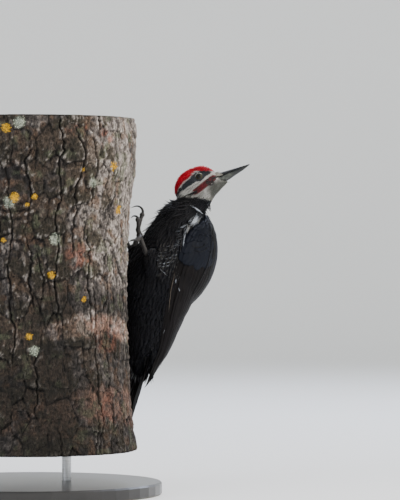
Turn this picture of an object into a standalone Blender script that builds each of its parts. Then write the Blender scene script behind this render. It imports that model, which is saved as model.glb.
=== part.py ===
"""Pileated woodpecker, life size, clinging to a cut length of trunk on a display stand.

Frame: metres, +Z up. The origin is the middle of the base's underside, on the floor, and
the perch stands around the Z axis. The bird clings to the perch's +X side, belly to the
bark: its mid-plane is the XZ plane, its back faces +X and its right side is +Y. Its head is
turned back over its shoulder. Sizes in the tables are millimetres, angles are degrees.
"""
import math
from bisect import bisect_right

import bmesh
import bpy
from mathutils import Matrix, Vector

MM = 0.001
GAP = 0.3                     # play between neighbouring solids
LEFT, RIGHT = -1, 1           # which side of the mid-plane, as the sign of Y

# Stand: a round foot, two rods and the cut length of trunk.
BASE_RADIUS = 170.0
BASE_HEIGHT = 16.0
BASE_CHAMFER = 2.0
ROD_RADIUS = 6.0
ROD_SPACING = 100.0
PERCH = (                     # height, radius: it flares to the root, with a swelling near the top
    (56.0, 139.5), (85.0, 135.0), (120.0, 131.8), (150.0, 131.2), (182.0, 129.2), (214.0, 127.0),
    (250.0, 126.5), (280.0, 126.6), (312.0, 127.8), (345.0, 128.6), (370.0, 130.4), (392.0, 135.0),
    (428.0, 139.6), (455.0, 139.0), (480.0, 136.5),
)

# Body from the neck down to the rump: height, middle's x, half depth, half width.
BODY = (
    (379.2, 227.0, 22.8, 18.0), (373.0, 218.5, 28.0, 23.5), (366.6, 212.3, 29.8, 27.5),
    (361.4, 208.3, 29.8, 30.5), (352.3, 205.8, 33.3, 35.0), (338.0, 203.4, 41.8, 40.0),
    (322.4, 199.4, 49.0, 42.5), (306.8, 194.8, 54.1, 44.5), (291.2, 190.1, 55.9, 45.0),
    (273.0, 184.5, 54.6, 44.0), (256.1, 178.3, 48.9, 40.5), (240.5, 172.4, 42.6, 37.0),
    (224.9, 168.2, 37.7, 34.0), (205.4, 163.7, 32.7, 30.5), (185.9, 159.3, 27.8, 27.0),
    (171.6, 155.6, 23.6, 23.5),
)
RUMP_END = ((165.0, 153.6, 17.0, 18.5), (160.5, 152.4, 11.0, 13.0), (158.0, 151.8, 5.0, 6.0))
NECK_BASE = 361.4             # height of the joint between neck and torso
BODY_SIDES = 28

# Folded wing: what it lies on below the rump, as BODY, and its edges on the body's rings.
WING_TIP_BED = ((157.8, 146.5, 21.5, 23.0), (146.2, 142.6, 20.0, 20.0), (130.0, 136.8, 16.0, 16.0))
WING_EDGES = (                # height, angle of the back edge, angle of the belly edge
    (360.0, 12.0, 62.0), (352.0, 8.0, 78.0), (340.0, 6.0, 90.0), (312.0, 5.0, 94.0),
    (288.0, 5.0, 98.0), (260.0, 5.0, 93.0), (234.0, 5.0, 85.0), (201.0, 6.0, 79.0),
    (175.0, 8.0, 72.0), (156.0, 10.0, 60.0), (140.0, 12.0, 46.0), (131.0, 14.0, 34.0),
)
WING_REST = 1.0               # play between wing and body, which covers the facets' sagging
WING_TOP = 359.5              # height of the bent wrist
WING_FRONT_DROP = 19.0        # how far the front edge falls from the wrist to the belly side
ARM_THICKNESS = 4.8
ARM_END_BACK = 238.0          # lower end of the coverts and secondaries at the back edge
ARM_END_BELLY = 285.0         # and at the belly edge
PRIMARIES_THICKNESS = 3.4
PRIMARIES_TIP = 131.0
FEATHER_EDGE = 1.2            # thickness of a feather sheet at its rim

# Tail: height, middle's x, half width, curl of the edges to the bark (1/mm), thickness.
TAIL = (
    (236.0, 171.5, 16.0, 0.0060, 5.5), (205.0, 165.0, 22.0, 0.0065, 5.0),
    (160.0, 154.5, 29.0, 0.0065, 4.2), (133.5, 146.7, 31.0, 0.0058, 3.4),
    (109.0, 138.9, 29.0, 0.0046, 2.6), (87.0, 136.6, 24.0, 0.0036, 2.0),
)
TAIL_ROOT, TAIL_TIP = 236.0, 87.0
TAIL_WEDGE = 36.0             # how much shorter the outer feathers are
TAIL_NOTCH = 5.0              # depth of the notches between the feathers' points
TAIL_FEATHERS = 10

# Head, in its own frame: +X along the bill, +Y to the head's left, +Z to its crown, with the
# origin between the eyes. Its rows: x, crown line, throat line, half width.
HEAD_YAW, HEAD_PITCH, HEAD_ROLL = -20.0, 22.0, 15.0
HEAD_ORIGIN = (234.2, 4.4, 403.9)
HEAD = (
    (-36.6, -4.0, -9.0, 3.0), (-35.3, 0.5, -14.0, 8.5), (-33.0, 4.0, -22.0, 11.8),
    (-30.0, 7.7, -30.0, 13.6), (-26.0, 11.8, -38.0, 15.0), (-20.0, 15.6, -44.0, 16.2),
    (-14.0, 17.2, -45.0, 16.9), (-6.0, 18.1, -41.0, 16.9), (1.0, 17.9, -34.5, 16.2),
    (7.3, 16.8, -29.8, 15.0), (11.3, 14.6, -26.9, 13.8), (14.8, 11.5, -25.2, 12.4),
    (18.1, 7.8, -23.7, 10.8), (21.3, 3.4, -22.2, 9.4), (23.5, -3.0, -21.1, 8.3),
    (26.0, -9.5, -20.2, 7.0), (29.0, -12.3, -18.6, 5.6), (32.0, -13.6, -17.1, 3.8),
    (34.0, -14.6, -15.9, 1.6),
)
HEAD_SIDES = 24
HEAD_FULLNESS = 2.4           # above 2 the sections are squarer than an ellipse
NECK_TOP = 379.5              # height of the cut between head and neck
CREST_HEIGHT = 7.3            # the red crown starts this far above the eyes
CREST_SLOPE = 0.25            # and its lower edge climbs forward by this much

BILL = (                      # x, culmen, mouth line, lower edge, half width
    (17.0, 0.4, -7.5, -15.4, 7.1), (22.0, -0.6, -7.3, -15.0, 6.9), (29.0, -1.5, -7.1, -14.7, 6.3),
    (36.0, -2.2, -6.9, -13.8, 5.6), (43.0, -2.95, -6.65, -11.8, 4.7), (51.0, -3.8, -6.4, -10.1, 3.7),
    (60.0, -4.7, -6.1, -8.3, 2.3), (66.0, -5.2, -5.9, -6.9, 1.4), (67.5, -5.5, -5.9, -6.4, 0.9),
)
EYE_RADIUS = 5.2
EYE_DEPTH = 12.1              # the eyeball's middle, out from the mid-plane

# Legs, in cylinder coordinates around the perch: radius, angle out from the mid-plane, height.
RIGHT_FOOT_LIFT = 7.0         # the far foot holds on a little higher
PALM = (141.3, 15.0, 331.0)
PALM_RADIUS = 3.7
ANKLE = (154.0, 12.0, 298.5)
TARSUS_RADIUS = 2.2
TARSUS_START = 6.6            # the shank starts this far from the palm's middle
TOE_RADIUS = 2.4
TOE_TIP_RADIUS = 1.9
CLAW_RADIUS = 1.9
CLAW_TIP_RADIUS = 0.4
CLAW_REST = 0.9               # play between the claw's point and the bark
TOES = {                      # joints of the toe, then the bends of its claw and where it grips
    "inner": (((139.0, 14.6, 338.0), (140.8, 14.2, 344.0), (142.4, 13.8, 350.0), (144.8, 13.4, 356.6)),
              ((146.0, 13.3, 362.0), (143.9, 13.2, 366.4), (138.4, 13.2, 368.8)), (13.2, 366.2)),
    "outer": (((139.6, 16.6, 338.0), (139.6, 17.8, 344.5), (139.2, 18.6, 350.0)),
              ((138.4, 18.9, 354.3), (133.5, 19.1, 356.0)), (19.2, 352.8)),
    "side": (((141.6, 19.0, 328.0), (138.6, 22.6, 325.3)),
             ((136.0, 24.4, 325.0), (132.0, 25.9, 324.4)), (26.8, 322.6)),
    "hind": (((139.5, 12.8, 325.6), (137.4, 11.6, 321.8)),
             ((136.0, 11.2, 319.2), (132.4, 10.8, 317.6)), (10.6, 315.9)),
}
THIGH_MIDDLE = (156.0, 32.5, 297.0)
THIGH_SIZE = (13.0, 12.0, 21.0)

MATERIALS = {                 # base colour (linear), roughness, metallic
    "black_plumage": ((0.012, 0.012, 0.014), 0.55, 0.0),
    "slate_plumage": ((0.020, 0.022, 0.028), 0.50, 0.0),
    "flight_feathers": ((0.010, 0.009, 0.009), 0.45, 0.0),
    "face_plumage": ((0.48, 0.46, 0.42), 0.65, 0.0),
    "red_crest": ((0.42, 0.015, 0.018), 0.60, 0.0),
    "bill_horn": ((0.030, 0.032, 0.034), 0.35, 0.0),
    "eye": ((0.35, 0.30, 0.10), 0.08, 0.0),
    "leg_skin": ((0.16, 0.16, 0.16), 0.55, 0.0),
    "claw_horn": ((0.035, 0.033, 0.032), 0.30, 0.0),
    "bark": ((0.20, 0.17, 0.15), 0.90, 0.0),
    "black_base": ((0.020, 0.019, 0.018), 0.35, 0.0),
    "steel": ((0.55, 0.55, 0.56), 0.30, 1.0),
}


def clear_scene():
    for obj in list(bpy.data.objects):
        bpy.data.objects.remove(obj, do_unlink=True)


def material(name):
    """The named finish, made on its first use."""
    found = bpy.data.materials.get(name)
    if found:
        return found
    colour, roughness, metallic = MATERIALS[name]
    made = bpy.data.materials.new(name)
    made.use_nodes = True
    shader = made.node_tree.nodes["Principled BSDF"]
    shader.inputs["Base Color"].default_value = (*colour, 1.0)
    shader.inputs["Roughness"].default_value = roughness
    shader.inputs["Metallic"].default_value = metallic
    return made


def along(table, at):
    """Read the columns of a table at a station, on smooth curves through its rows."""
    rows = sorted(table)
    at = min(max(at, rows[0][0]), rows[-1][0])
    low = min(bisect_right([row[0] for row in rows], at) - 1, len(rows) - 2)
    before, start, end, after = (rows[min(max(low + step, 0), len(rows) - 1)] for step in (-1, 0, 1, 2))
    span = end[0] - start[0]
    t = (at - start[0]) / span
    values = []
    for column in range(1, len(start)):
        slope_in = (end[column] - before[column]) / (end[0] - before[0]) * span
        slope_out = (after[column] - start[column]) / (after[0] - start[0]) * span
        rise = end[column] - start[column]
        values.append(start[column] + t * slope_in + t * t * (3 * rise - 2 * slope_in - slope_out)
                      + t ** 3 * (slope_in + slope_out - 2 * rise))
    return values


def solid(name, points, faces, finish, frame=None):
    """One closed mesh object from points in millimetres, with its faces turned outwards."""
    mesh = bpy.data.meshes.new(name)
    mesh.from_pydata([Vector(point) * MM for point in points], [], faces)
    shape = bmesh.new()
    shape.from_mesh(mesh)
    bmesh.ops.recalc_face_normals(shape, faces=shape.faces)
    shape.to_mesh(mesh)
    shape.free()
    mesh.shade_smooth()
    mesh.set_sharp_from_angle(angle=math.radians(50))
    obj = bpy.data.objects.new(name, mesh)
    obj.data.materials.append(material(finish))
    bpy.context.collection.objects.link(obj)
    if frame:
        obj.parent = frame
    return obj


def loft(name, rings, finish, frame=None):
    """A solid through closed rings of equal point counts, with a flat cap on each end."""
    sides = len(rings[0])
    points = [point for ring in rings for point in ring]
    faces = [tuple(range(sides)), tuple(range(len(points) - sides, len(points)))]
    for row in range(len(rings) - 1):
        for side in range(sides):
            nxt = (side + 1) % sides
            faces.append((row * sides + side, row * sides + nxt,
                          (row + 1) * sides + nxt, (row + 1) * sides + side))
    return solid(name, points, faces, finish, frame)


def sheet(name, surface, across, down, finish):
    """A thick sheet: surface(u, v, face) gives its outer (face 1) and inner (face 0) points."""
    points = [surface(u / across, v / down, face)
              for face in (0, 1) for v in range(down + 1) for u in range(across + 1)]

    def index(u, v, face):
        return (face * (down + 1) + v) * (across + 1) + u

    faces = []
    for v in range(down):
        for u in range(across):
            for face in (0, 1):
                faces.append(tuple(index(u + du, v + dv, face) for du, dv in ((0, 0), (1, 0), (1, 1), (0, 1))))
    rim = [(u, 0) for u in range(across)] + [(across, v) for v in range(down)]
    rim += [(u, down) for u in range(across, 0, -1)] + [(0, v) for v in range(down, 0, -1)]
    for here, there in zip(rim, rim[1:] + rim[:1]):
        faces.append((index(*here, 0), index(*there, 0), index(*there, 1), index(*here, 1)))
    return solid(name, points, faces, finish)


def tube(name, path, radii, finish, sides=8):
    """A round limb along a path, its rings carried along without twist."""
    path = [Vector(point) for point in path]
    ways = [(path[min(i + 1, len(path) - 1)] - path[max(i - 1, 0)]).normalized() for i in range(len(path))]
    across = ways[0].orthogonal().normalized()
    rings = []
    for point, way, radius in zip(path, ways, radii):
        across = (across - way * across.dot(way)).normalized()
        other = way.cross(across)
        turns = [math.tau * side / sides for side in range(sides)]
        rings.append([point + (across * math.cos(turn) + other * math.sin(turn)) * radius for turn in turns])
    return loft(name, rings, finish)


def ball(name, middle, size, finish, frame=None, rings=7, sides=12):
    """An ellipsoid with the given half axes."""
    mesh = bpy.data.meshes.new(name)
    shape = bmesh.new()
    bmesh.ops.create_uvsphere(shape, u_segments=sides, v_segments=rings, radius=1.0)
    shape.transform(Matrix.Diagonal([axis * MM for axis in size]).to_4x4())
    shape.to_mesh(mesh)
    shape.free()
    mesh.shade_smooth()
    obj = bpy.data.objects.new(name, mesh)
    obj.data.materials.append(material(finish))
    obj.location = Vector(middle) * MM
    bpy.context.collection.objects.link(obj)
    if frame:
        obj.parent = frame
    return obj


def combine(obj, tool, operation):
    """Cut or join with a hidden tool object, exactly."""
    tool.hide_render = True
    tool.display_type = "WIRE"
    step = obj.modifiers.new(tool.name, "BOOLEAN")
    step.operation = operation
    step.solver = "EXACT"
    step.object = tool


def trim(obj, point, normal):
    """Slice an object with a plane in its own space and close it; the normal's side goes."""
    shape = bmesh.new()
    shape.from_mesh(obj.data)
    cut = bmesh.ops.bisect_plane(shape, geom=shape.verts[:] + shape.edges[:] + shape.faces[:],
                                 plane_co=Vector(point) * MM, plane_no=normal, clear_outer=True)
    rim = [item for item in cut["geom_cut"] if isinstance(item, bmesh.types.BMEdge)]
    bmesh.ops.edgeloop_fill(shape, edges=rim)
    bmesh.ops.recalc_face_normals(shape, faces=shape.faces)
    shape.to_mesh(obj.data)
    shape.free()
    obj.data.shade_smooth()
    obj.data.set_sharp_from_angle(angle=math.radians(50))


def steps(low, high, spacing):
    """Evenly spaced stations from low to high, about this far apart."""
    count = max(1, round((high - low) / spacing))
    return [low + (high - low) * i / count for i in range(count + 1)]


# Stand -------------------------------------------------------------------------------------

def perch_radius(height):
    return along(PERCH, height)[0]


def round_ring(radius, height, sides, x=0.0):
    turns = [math.tau * side / sides for side in range(sides)]
    return [(x + radius * math.cos(turn), radius * math.sin(turn), height) for turn in turns]


def make_stand():
    rim = BASE_RADIUS - BASE_CHAMFER
    profile = ((rim, 0.0), (BASE_RADIUS, BASE_CHAMFER), (BASE_RADIUS, BASE_HEIGHT - BASE_CHAMFER),
               (rim, BASE_HEIGHT))
    loft("stand_base", [round_ring(radius, height, 48) for radius, height in profile], "black_base")
    for name, side in (("stand_rod_back", 1), ("stand_rod_front", -1)):
        ends = (BASE_HEIGHT + GAP, PERCH[0][0] - GAP)
        loft(name, [round_ring(ROD_RADIUS, end, 20, side * ROD_SPACING / 2) for end in ends], "steel")
    heights = steps(PERCH[0][0], PERCH[-1][0], 30)
    loft("stand_perch", [round_ring(perch_radius(height), height, 40) for height in heights], "bark")


# Body --------------------------------------------------------------------------------------

def body_point(table, height, angle, out=0.0, side=RIGHT):
    """A point on the body's ring at a height, its angle counted from the back."""
    middle, depth, width = along(table, height)
    turn = math.radians(angle)
    return (middle + (depth + out) * math.cos(turn), side * (width + out) * math.sin(turn), height)


def body_solid(name, heights, finish, out=0.0):
    table = BODY + RUMP_END
    rings = [[body_point(table, height, 360.0 * i / BODY_SIDES, out) for i in range(BODY_SIDES)]
             for height in heights]
    return loft(name, rings, finish)


def make_body():
    body_solid("neck", steps(NECK_BASE + GAP / 2, NECK_TOP - GAP, 4.5), "black_plumage")
    heights = [row[0] for row in reversed(RUMP_END)] + steps(171.6, NECK_BASE - GAP / 2, 11.5)
    torso = body_solid("torso", heights, "black_plumage")
    combine(torso, make_tail("tail_room", play=GAP + 0.1), "DIFFERENCE")


def make_tail(name, play=0.0):
    """Ten stiff pointed feathers side by side, pressed to the bark and curled at the edges."""
    def surface(u, v, face):
        across = 2.0 * u - 1.0
        point = round(u * 2 * TAIL_FEATHERS) % 2
        tip = TAIL_TIP + TAIL_WEDGE * abs(across) ** 1.4 + (0.0 if point else TAIL_NOTCH)
        height = TAIL_ROOT + play + (tip - TAIL_ROOT - play) * v
        middle, width, curl, thick = along(TAIL, height)
        y = across * (width + play)
        rim = 1.0 - abs(across) ** 4
        half = 0.5 * (FEATHER_EDGE + (thick - FEATHER_EDGE) * rim) + play
        return (middle - curl * y * y + (half if face else -half), y, height)
    return sheet(name, surface, 2 * TAIL_FEATHERS, 6, "flight_feathers")


def wing_sheet(name, side, top, bottom, thickness, across, down, finish):
    """A band of the folded wing on the body's rings, between two slanting ends."""
    bed = BODY + WING_TIP_BED

    def surface(u, v, face):
        height = top(u) + (bottom(u) - top(u)) * v
        back, belly = along(WING_EDGES, height)
        rim = (1.0 - abs(2.0 * u - 1.0) ** 6) * (1.0 - abs(2.0 * v - 1.0) ** 10)
        out = WING_REST
        if face:
            out += FEATHER_EDGE + (thickness - FEATHER_EDGE) * rim
        return body_point(bed, height, back + (belly - back) * u, out, side)
    return sheet(name, surface, across, down, finish)


def make_wings():
    def wrist(u):
        return WING_TOP - WING_FRONT_DROP * abs(u - 0.12) ** 1.3 / 0.88 ** 1.3

    def arm_end(u):
        return ARM_END_BACK + (ARM_END_BELLY - ARM_END_BACK) * u ** 1.5

    def primaries_start(u):
        return arm_end(u) - GAP - 0.1

    def primaries_tip(u):
        return PRIMARIES_TIP + 3.0 * u

    for label, side in (("left", LEFT), ("right", RIGHT)):
        wing_sheet("wing_" + label, side, wrist, arm_end, ARM_THICKNESS, 10, 9, "slate_plumage")
        wing_sheet("primaries_" + label, side, primaries_start, primaries_tip, PRIMARIES_THICKNESS,
                   7, 11, "flight_feathers")


# Head --------------------------------------------------------------------------------------

def head_frame():
    """An empty that carries the turned head's parts."""
    frame = bpy.data.objects.new("head_frame", None)
    bpy.context.collection.objects.link(frame)
    turn = (Matrix.Rotation(math.radians(HEAD_YAW), 4, "Z") @ Matrix.Rotation(-math.radians(HEAD_PITCH), 4, "Y")
            @ Matrix.Rotation(-math.radians(HEAD_ROLL), 4, "X"))
    frame.matrix_world = Matrix.Translation(Vector(HEAD_ORIGIN) * MM) @ turn
    return frame


def head_solid(name, finish, frame):
    rings = []
    stations = [row[0] for row in HEAD]
    power = 2.0 / HEAD_FULLNESS
    for x in stations:
        crown, throat, width = along(HEAD, x)
        middle, half = (crown + throat) / 2, (crown - throat) / 2
        ring = []
        for i in range(HEAD_SIDES):
            turn = math.tau * i / HEAD_SIDES
            across, up = math.sin(turn), math.cos(turn)
            ring.append((x, math.copysign(abs(across) ** power, across) * width,
                         middle + math.copysign(abs(up) ** power, up) * half))
        rings.append(ring)
    return loft(name, rings, finish, frame)


def bill_ring(x, edge, mouth, width, fullness, out=0.0):
    """Half a section of the bill: flat on the mouth line, rounded to its edge."""
    ring = []
    for i in range(9):
        turn = math.pi * i / 8
        rise = math.sin(turn) ** fullness
        ring.append((x, (width + out) * math.cos(turn), mouth + (edge - mouth) * rise
                     + math.copysign(out, edge - mouth)))
    return ring


def make_bill(frame):
    upper, lower, room = [], [], []
    for x in [row[0] for row in BILL]:
        culmen, mouth, gonys, width = along(BILL, x)
        upper.append(bill_ring(x, culmen, mouth, width, 1.25))
        lower.append(bill_ring(x, gonys, mouth - GAP, width * 0.94, 0.9))
        above = bill_ring(x - 0.4, culmen, mouth, width, 1.25, out=0.4)
        below = bill_ring(x - 0.4, gonys, mouth, width, 0.9, out=0.4)
        room.append(above + below[1:-1][::-1])
    loft("bill_upper", upper, "bill_horn", frame)
    loft("bill_lower", lower, "bill_horn", frame)
    return loft("bill_room", room, "bill_horn", frame)


def make_head():
    frame = head_frame()
    to_head = frame.matrix_world.inverted()
    head = head_solid("head", "face_plumage", frame)
    crest = head_solid("crest", "red_crest", frame)
    tilt = Vector((-CREST_SLOPE, 0.0, 1.0)).normalized()
    trim(head, (0.0, 0.0, CREST_HEIGHT - GAP / 2), tilt)
    trim(crest, (0.0, 0.0, CREST_HEIGHT + GAP / 2), -tilt)
    down = (to_head.to_3x3() @ Vector((0.0, 0.0, -1.0))).normalized()
    trim(head, (to_head @ Vector((0.0, 0.0, NECK_TOP * MM))) / MM, down)
    combine(head, make_bill(frame), "DIFFERENCE")
    for label, side in (("left", 1), ("right", -1)):
        middle = (0.0, side * EYE_DEPTH, 0.0)
        ball("eye_" + label, middle, (EYE_RADIUS,) * 3, "eye", frame)
        room = ball("eye_room_" + label, middle, (EYE_RADIUS + GAP,) * 3, "eye", frame)
        combine(head, room, "DIFFERENCE")


# Legs --------------------------------------------------------------------------------------

def around_perch(place, side, lift=0.0):
    radius, angle, height = place
    turn = math.radians(angle)
    return Vector((radius * math.cos(turn), side * radius * math.sin(turn), height + lift))


def make_claw(name, side, lift, toe, bends, grip):
    """A hooked claw from just past the toe's end to its point on the bark."""
    end, before = toe[-1], toe[-2]
    way = (end - before).normalized()
    start = end + way * 2 * GAP
    angle, height = grip
    point = around_perch((perch_radius(height + lift) + CLAW_REST, angle, height), side, lift)
    bends = [start, start + way] + [around_perch(bend, side, lift) for bend in bends] + [point]
    stations = [(i, *bend) for i, bend in enumerate(bends)]
    last = 2 * (len(bends) - 1)
    path = [along(stations, i / 2) for i in range(last + 1)]
    radii = [CLAW_RADIUS + (CLAW_TIP_RADIUS - CLAW_RADIUS) * (i / last) ** 1.3 for i in range(last + 1)]
    tube(name, path, radii, "claw_horn", sides=7)


def make_leg(label, side, lift):
    palm = around_perch(PALM, side, lift)
    ankle = around_perch(ANKLE, side, lift)
    shank = (ankle - palm).normalized()
    foot = ball("foot_" + label, palm, (PALM_RADIUS,) * 3, "leg_skin", rings=6, sides=10)
    stub = tube("stub_" + label, (palm, palm + shank * (TARSUS_START - GAP)), (TARSUS_RADIUS,) * 2, "leg_skin")
    combine(foot, stub, "UNION")
    for toe_name, (joints, bends, grip) in TOES.items():
        toe = [palm] + [around_perch(joint, side, lift) for joint in joints]
        last = len(toe) - 1
        radii = [TOE_RADIUS + (TOE_TIP_RADIUS - TOE_RADIUS) * i / last for i in range(last + 1)]
        combine(foot, tube(f"toe_{label}_{toe_name}", toe, radii, "leg_skin"), "UNION")
        make_claw(f"claw_{label}_{toe_name}", side, lift, toe, bends, grip)
    tube("tarsus_" + label, (palm + shank * TARSUS_START, ankle), (TARSUS_RADIUS,) * 2, "leg_skin")

    x, y, height = THIGH_MIDDLE
    thigh = ball("thigh_" + label, (x, side * y, height + lift), THIGH_SIZE, "black_plumage")
    shank_room = tube("shank_room_" + label, (palm, ankle + shank * GAP), (TARSUS_RADIUS + GAP,) * 2, "leg_skin")
    combine(thigh, shank_room, "DIFFERENCE")
    body_room = body_solid("body_room_" + label, steps(220.0, 345.0, 12.5), "black_plumage", out=GAP + 0.1)
    combine(thigh, body_room, "DIFFERENCE")


def main():
    clear_scene()
    make_stand()
    make_body()
    make_tail("tail")
    make_wings()
    make_head()
    make_leg("left", LEFT, 0.0)
    make_leg("right", RIGHT, RIGHT_FOOT_LIFT)


main()
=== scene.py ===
"""Looks of a pileated woodpecker on a cut length of trunk: skin, coat, bill, eyes, feet, bark and stand."""

import math

import bmesh
import bpy
import numpy as np
from bpy.props import FloatProperty, FloatVectorProperty, IntProperty, PointerProperty
from mathutils import Matrix, Vector
from mathutils.bvhtree import BVHTree


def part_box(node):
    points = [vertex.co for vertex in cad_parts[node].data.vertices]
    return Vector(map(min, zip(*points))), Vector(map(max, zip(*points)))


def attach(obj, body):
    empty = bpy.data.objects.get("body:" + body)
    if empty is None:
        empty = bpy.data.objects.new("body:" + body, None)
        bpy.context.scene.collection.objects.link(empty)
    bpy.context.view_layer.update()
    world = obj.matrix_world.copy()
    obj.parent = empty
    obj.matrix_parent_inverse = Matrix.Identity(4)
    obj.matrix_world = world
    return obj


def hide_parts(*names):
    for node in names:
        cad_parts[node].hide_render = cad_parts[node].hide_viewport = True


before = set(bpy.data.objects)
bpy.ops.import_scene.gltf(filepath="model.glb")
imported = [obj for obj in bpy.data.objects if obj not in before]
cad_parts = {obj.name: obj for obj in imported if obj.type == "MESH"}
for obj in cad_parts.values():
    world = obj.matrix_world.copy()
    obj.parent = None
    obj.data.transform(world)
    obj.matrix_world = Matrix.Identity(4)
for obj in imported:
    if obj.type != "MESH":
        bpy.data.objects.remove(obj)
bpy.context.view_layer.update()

bl_info = {
    "name": "Pileated Woodpecker on a Perch",
    "version": (1, 0, 0),
    "blender": (4, 5, 0),
    "location": "3D View > Sidebar > Woodpecker",
    "description": "Builds the skin, coat, bill, eyes, feet, bark and stand of a life-size woodpecker",
    "category": "Object",
}

MM = 0.001
SIDES = {"left": -1, "right": 1}
PATCH = 0.003  # size of one feather's place in the bake map


# ---- colour, nodes and meshes


def hex_linear(text):
    """An sRGB hex colour as linear red, green and blue."""
    parts = [int(text[i:i + 2], 16) / 255 for i in (1, 3, 5)]
    return tuple(c / 12.92 if c <= 0.04045 else ((c + 0.055) / 1.055) ** 2.4 for c in parts)


def colour(tint):
    """A colour as an array, from hex text or linear values."""
    return np.array(hex_linear(tint) if isinstance(tint, str) else tint)


def held(group, names):
    """Colours from the sidebar, by their names in a property group."""
    return [colour(getattr(group, name)) for name in names.split()]


def add_node(tree, kind, setting=None, grain=None, stops=(), **sockets):
    """Adds a node. setting is its operation, its attribute's name or a map of values; grain is a pattern's
    size in millimetres, on the piece's own coordinates; stops are a ramp's places and colours; sockets maps
    an input's name or number to a value, a node or an output."""
    node = tree.nodes.new(kind if "Node" in kind else "ShaderNode" + kind)
    if grain is not None:
        where = tree.nodes.new("ShaderNodeTexCoord").outputs["Object"]
        sockets = {"Vector": where, "Scale": 1 / (grain * MM), **sockets}
    if isinstance(setting, str):
        setting = {"attribute_name" if kind == "Attribute" else "operation": setting}
    for name, value in (setting or {}).items():
        setattr(node, name, value)
    for _ in stops[2:]:
        node.color_ramp.elements.new(0.5)
    for i, (place, tint) in enumerate(stops):
        node.color_ramp.elements[i].position = place
        node.color_ramp.elements[i].color = (*colour(tint), 1)
    for name, value in sockets.items():
        place = node.inputs[int(name[1:]) if name[1:].isdigit() else name.replace("_", " ")]
        if isinstance(value, (bpy.types.Node, bpy.types.NodeSocket)):
            tree.links.new(first_output(value), place)
        else:
            place.default_value = value
    return node


def first_output(value):
    return value.outputs[0] if isinstance(value, bpy.types.Node) else value


def dress(tree, tint, height=None, strength=1.0, depth=0.0):
    """Gives a material's shader its colour and, from a height, relief of up to depth in millimetres."""
    shader = tree.nodes["Principled BSDF"]
    tree.links.new(first_output(tint), shader.inputs["Base Color"])
    if height is not None:
        bump = add_node(tree, "Bump", Strength=strength, Distance=depth * MM, Height=height)
        tree.links.new(bump.outputs[0], shader.inputs["Normal"])


def finish(name, **sockets):
    """A new material and its node tree; sockets set the shader's own inputs."""
    material = bpy.data.materials.new(name)
    material.use_nodes = True
    shader = material.node_tree.nodes["Principled BSDF"]
    for socket, value in sockets.items():
        shader.inputs[socket.replace("_", " ")].default_value = value
    return material, material.node_tree


def spun(radii, levels, columns):
    """Rings of points round the upright axis, one for each radius and level."""
    turn = np.linspace(0, math.tau, columns, endpoint=False)
    return np.stack([np.outer(radii, np.cos(turn)), np.outer(radii, np.sin(turn)),
        np.outer(levels, np.ones(columns))], 2)


def ring_faces(rows, columns):
    """Four-cornered faces of a tube of rings, one ring after another, closed round."""
    i = np.arange(columns)
    start = np.arange(rows - 1)[:, None] * columns
    return np.stack([start + i, start + (i + 1) % columns, start + columns + (i + 1) % columns,
        start + columns + i], 2).reshape(-1, 4)


def spun_solid(radii, levels, columns):
    """Points, sides and ends of a closed solid of rings, listed from the bottom up."""
    rings = spun(radii, levels, columns).reshape(-1, 3)
    j, last, total = np.arange(columns), (len(radii) - 1) * columns, len(rings)
    after = (j + 1) % columns
    points = np.concatenate([rings, [[0, 0, levels[0]], [0, 0, levels[-1]]]])
    ends = np.concatenate([np.stack([0 * j + total, after, j], 1),
        np.stack([0 * j + total + 1, last + j, last + after], 1)])
    return points, ring_faces(len(radii), columns), ends


def make_mesh(name, points, *faces):
    """A smooth mesh from points in millimetres and arrays of faces with three or four corners."""
    faces = [np.asarray(f) for f in faces if len(f)]
    corners = np.concatenate([f.ravel() for f in faces]).astype(np.int32)
    counts = np.concatenate([np.full(len(f), f.shape[1]) for f in faces])
    mesh = bpy.data.meshes.new(name)
    mesh.vertices.add(len(points))
    mesh.loops.add(len(corners))
    mesh.loops.foreach_set("vertex_index", corners)
    mesh.polygons.add(len(counts))
    mesh.polygons.foreach_set("loop_start", np.concatenate([[0], np.cumsum(counts)[:-1]]).astype(np.int32))
    mesh.update(calc_edges=True)
    place_points(mesh, points)
    return mesh


def make_piece(name, mesh, material):
    piece = bpy.data.objects.new(name, mesh)
    bpy.context.scene.collection.objects.link(piece)
    if material is not None:
        mesh.materials.clear()
        mesh.materials.append(material)
    return piece


def set_points(mesh, name, kind, values):
    """A point attribute: FLOAT, FLOAT_VECTOR or FLOAT_COLOR."""
    layer = mesh.attributes.new(name, kind, "POINT")
    key = {"FLOAT": "value", "FLOAT_VECTOR": "vector", "FLOAT_COLOR": "color"}[kind]
    values = np.asarray(values, np.float32)
    if kind == "FLOAT_COLOR":
        values = np.concatenate([values, np.ones((len(values), 1), np.float32)], 1)
    layer.data.foreach_set(key, values.ravel())


def place_points(mesh, points):
    """Moves the mesh's points, given in millimetres, and smooths its faces."""
    mesh.vertices.foreach_set("co", (np.asarray(points) * MM).astype(np.float32).ravel())
    mesh.polygons.foreach_set("use_smooth", np.ones(len(mesh.polygons), bool))
    mesh.update()


def settle(name, mesh, material, slot, *nodes):
    """Makes a piece with its material, hangs it on the root body, and hides the CAD nodes that it stands for.
    """
    piece = make_piece(name, mesh, material)
    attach(piece, "root")
    if nodes:
        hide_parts(*nodes)


def points_of(mesh):
    """The mesh's points, in millimetres."""
    flat = np.empty(len(mesh.vertices) * 3, np.float32)
    mesh.vertices.foreach_get("co", flat)
    return flat.reshape(-1, 3).astype(float) / MM


def triangles_of(mesh):
    mesh.calc_loop_triangles()
    flat = np.empty(len(mesh.loop_triangles) * 3, np.int32)
    mesh.loop_triangles.foreach_get("vertices", flat)
    return flat.reshape(-1, 3)


def unit(vectors):
    return vectors / np.maximum(np.linalg.norm(vectors, axis=-1, keepdims=True), 1e-9)


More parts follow.
